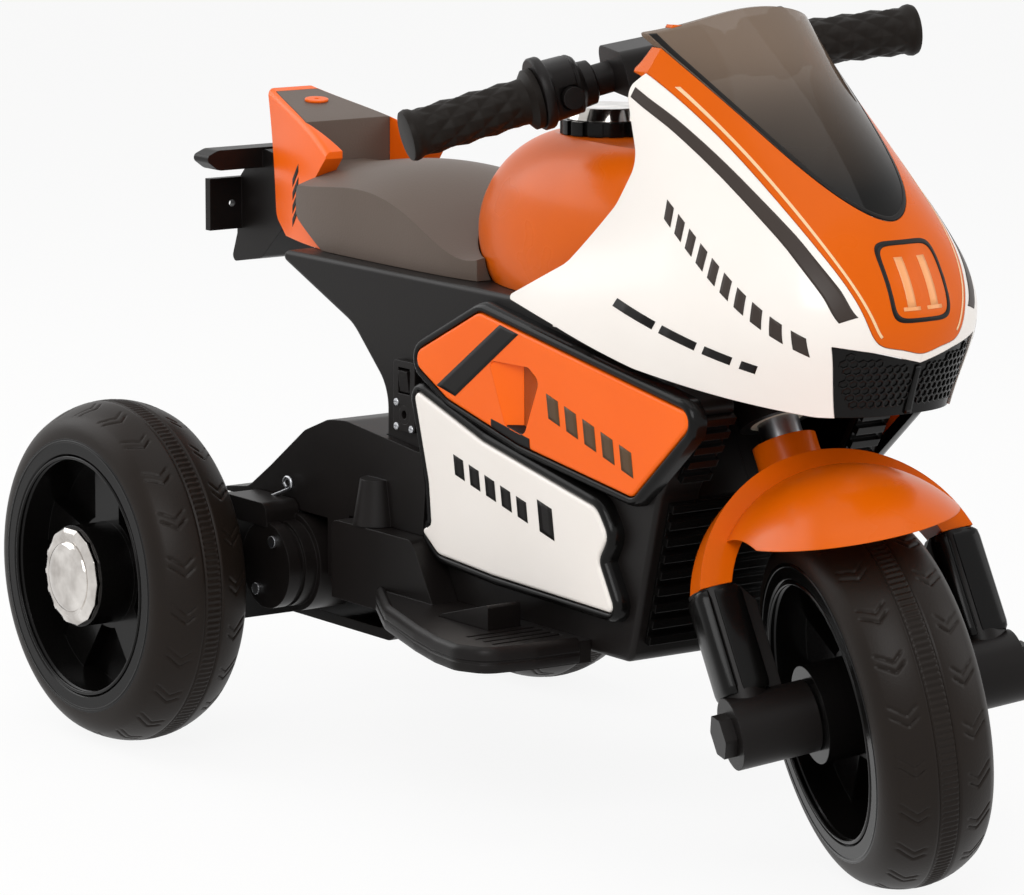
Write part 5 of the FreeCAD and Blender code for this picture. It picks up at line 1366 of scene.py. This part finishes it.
@dataclass
class Studio:
    """Camera at the photograph's angle, a pale floor and soft boxes.

    Every box has a name, a place and an edge length in metres, and a power in watts.
    """

    eye: tuple[float, float, float] = (-1.9299, -2.5948, 0.7926)
    azimuth: float = -0.6239
    elevation: float = 0.1741
    roll: float = 0.0024
    focus_px: float = 5124.8
    width_px: float = 1024.0
    sensor: float = 36.0
    far: float = 50.0
    boxes: tuple = (("key_box", (-1.9, -1.7, 1.9), 1.6, 40.0), ("fill_box", (1.9, -1.7, 1.4), 1.8, 18.0),
                    ("rear_box", (-1.0, 2.1, 1.7), 1.8, 24.0), ("top_box", (0.0, 0.0, 2.6), 2.0, 12.0))
    aim: tuple[float, float, float] = (0.0, 0.0, 0.25)
    floor_half: float = 30.0
    floor_glow: float = 0.9
    sky_light: float = 0.45

    def build(self) -> None:
        """Sets up camera, floor, world and lamps."""
        self.camera()
        self.floor()
        self.world()
        for box in self.boxes:
            self.lamp(*box)
        bpy.context.scene.view_settings.view_transform = "Standard"

    def camera(self) -> None:
        """Places the camera by azimuth, elevation and roll, with the lens worked out from the focus in pixels."""
        a, e, r = self.azimuth, self.elevation, self.roll
        back = Vector((math.sin(a) * math.cos(e), -math.cos(a) * math.cos(e), math.sin(e)))
        right = Vector((math.cos(a), math.sin(a), 0.0))
        up = Vector((-math.sin(a) * math.sin(e), math.cos(a) * math.sin(e), math.cos(e)))
        right, up = right * math.cos(r) + up * math.sin(r), up * math.cos(r) - right * math.sin(r)
        data = bpy.data.cameras.new("camera")
        data.sensor_fit = "HORIZONTAL"
        data.sensor_width = self.sensor
        data.lens = self.focus_px / self.width_px * self.sensor
        data.clip_end = self.far
        holder = linked("camera", data)
        holder.matrix_world = Matrix.Translation(self.eye) @ Matrix((right, up, back)).transposed().to_4x4()
        bpy.context.scene.camera = holder

    def floor(self) -> None:
        """Lays a pale floor that looks white to the camera and keeps a soft shadow."""
        data = bpy.data.meshes.new("floor")
        half = self.floor_half
        data.from_pydata([(-half, -half, 0), (half, -half, 0), (half, half, 0), (-half, half, 0)], [], [(0, 1, 2, 3)])
        made = bpy.data.materials.new("pale_floor")
        made.use_nodes = True
        tree = made.node_tree
        tree.nodes.clear()
        pale = add_node(tree, "ShaderNodeBsdfDiffuse", {"Color": linear("#F4F3F1")})
        glow = add_node(tree, "ShaderNodeEmission", {"Color": linear("#FFFFFF"), "Strength": 1.0})
        share = add_node(tree, "ShaderNodeMath", {0: seen_directly(tree), 1: self.floor_glow}, operation="MULTIPLY")
        mixed = add_node(tree, "ShaderNodeMixShader", {0: share.outputs[0], 1: pale.outputs[0], 2: glow.outputs[0]})
        add_node(tree, "ShaderNodeOutputMaterial", {"Surface": mixed.outputs[0]})
        data.materials.append(made)
        linked("floor", data)

    def world(self) -> None:
        """Plain white surround, dimmer as a light than it looks to the camera."""
        world = bpy.data.worlds.new("surround")
        bpy.context.scene.world = world
        world.use_nodes = True
        tree = world.node_tree
        tree.nodes.clear()
        strength = add_node(tree, "ShaderNodeMapRange",
                            {"Value": seen_directly(tree), "To Min": self.sky_light, "To Max": 1.0})
        sky = add_node(tree, "ShaderNodeBackground",
                       {"Color": linear("#FFFFFF"), "Strength": strength.outputs["Result"]})
        add_node(tree, "ShaderNodeOutputWorld", {"Surface": sky.outputs[0]})

    def lamp(self, name: str, place: tuple[float, float, float], size: float, power: float) -> None:
        """Hangs a square soft box that faces the middle of the object.

        Args:
            name: object name.
            place: position in metres.
            size: edge length in metres.
            power: watts.
        """
        data = bpy.data.lights.new(name, "AREA")
        data.size = size
        data.energy = power
        holder = linked(name, data)
        holder.location = place
        holder.rotation_euler = (Vector(self.aim) - Vector(place)).to_track_quat("-Z", "Y").to_euler()


def dress_frame() -> None:
    """Gives every CAD node its finish."""
    WHITE.dress("lower_panels", "fairing_left", "fairing_right")
    ORANGE.dress("side_panels", "tail_cover")
    DEEP_ORANGE.dress("nose_panel", "fender", "tank_cover", "fork_crown")
    BLACK.dress("body_left", "body_right", "head_tube", "rear_frame", "rear_bonnet", "gearbox_left", "gearbox_right",
                "motor", "plate_bracket", "foot_pedal", "footrest_left", "footrest_right", "port_plate",
                "charge_socket", "power_rocker", "fork_legs", "bar_clamp", "controls", "button_left", "button_right",
                "battery", "speaker", "handlebar", "axle_bolts", "front_axle")
    GLOSS_BLACK.dress("belly_grille", "lamp_grille", "cap_ring", "rim_left", "rim_right", "front_rim")
    SEAT_GREY.dress("seat", "tail_insert")
    TYRE_BLACK.dress("tyre_left", "tyre_right", "front_tyre")
    GRIP_BLACK.dress("grips")
    CHROME.dress("hub_cap_left", "hub_cap_right", "filler_cap")
    ZINC.dress("rear_axle", "axle_nuts", "steering_stem", "pedal_pin", "gearbox_screws")
    SMOKE.dress("windscreen")
    NYLON.dress("drive_gear", "idler_gear", "motor_pinion", "head_bushes")
    BOARD.dress("control_board")


def main() -> None:
    """Builds the studio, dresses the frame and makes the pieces."""
    logging.basicConfig(level=logging.INFO, format="%(name)s %(message)s")
    Studio().build()
    dress_frame()
    steering = Steering()
    Tyres().build(steering)
    Grips().build(steering)
    Controls().build(steering)
    HubCaps().build()
    RimBeads().build(steering)
    Lamp().build()
    Graphics().build()
    PocketScoop().build()
    Fixings().build()
    PanelTrim().build()
    FootRims().build()
    NoseTrim().build()
    ForkSleeves().build(steering)
    RearHook().build()


if __name__ == "__main__":
    main()
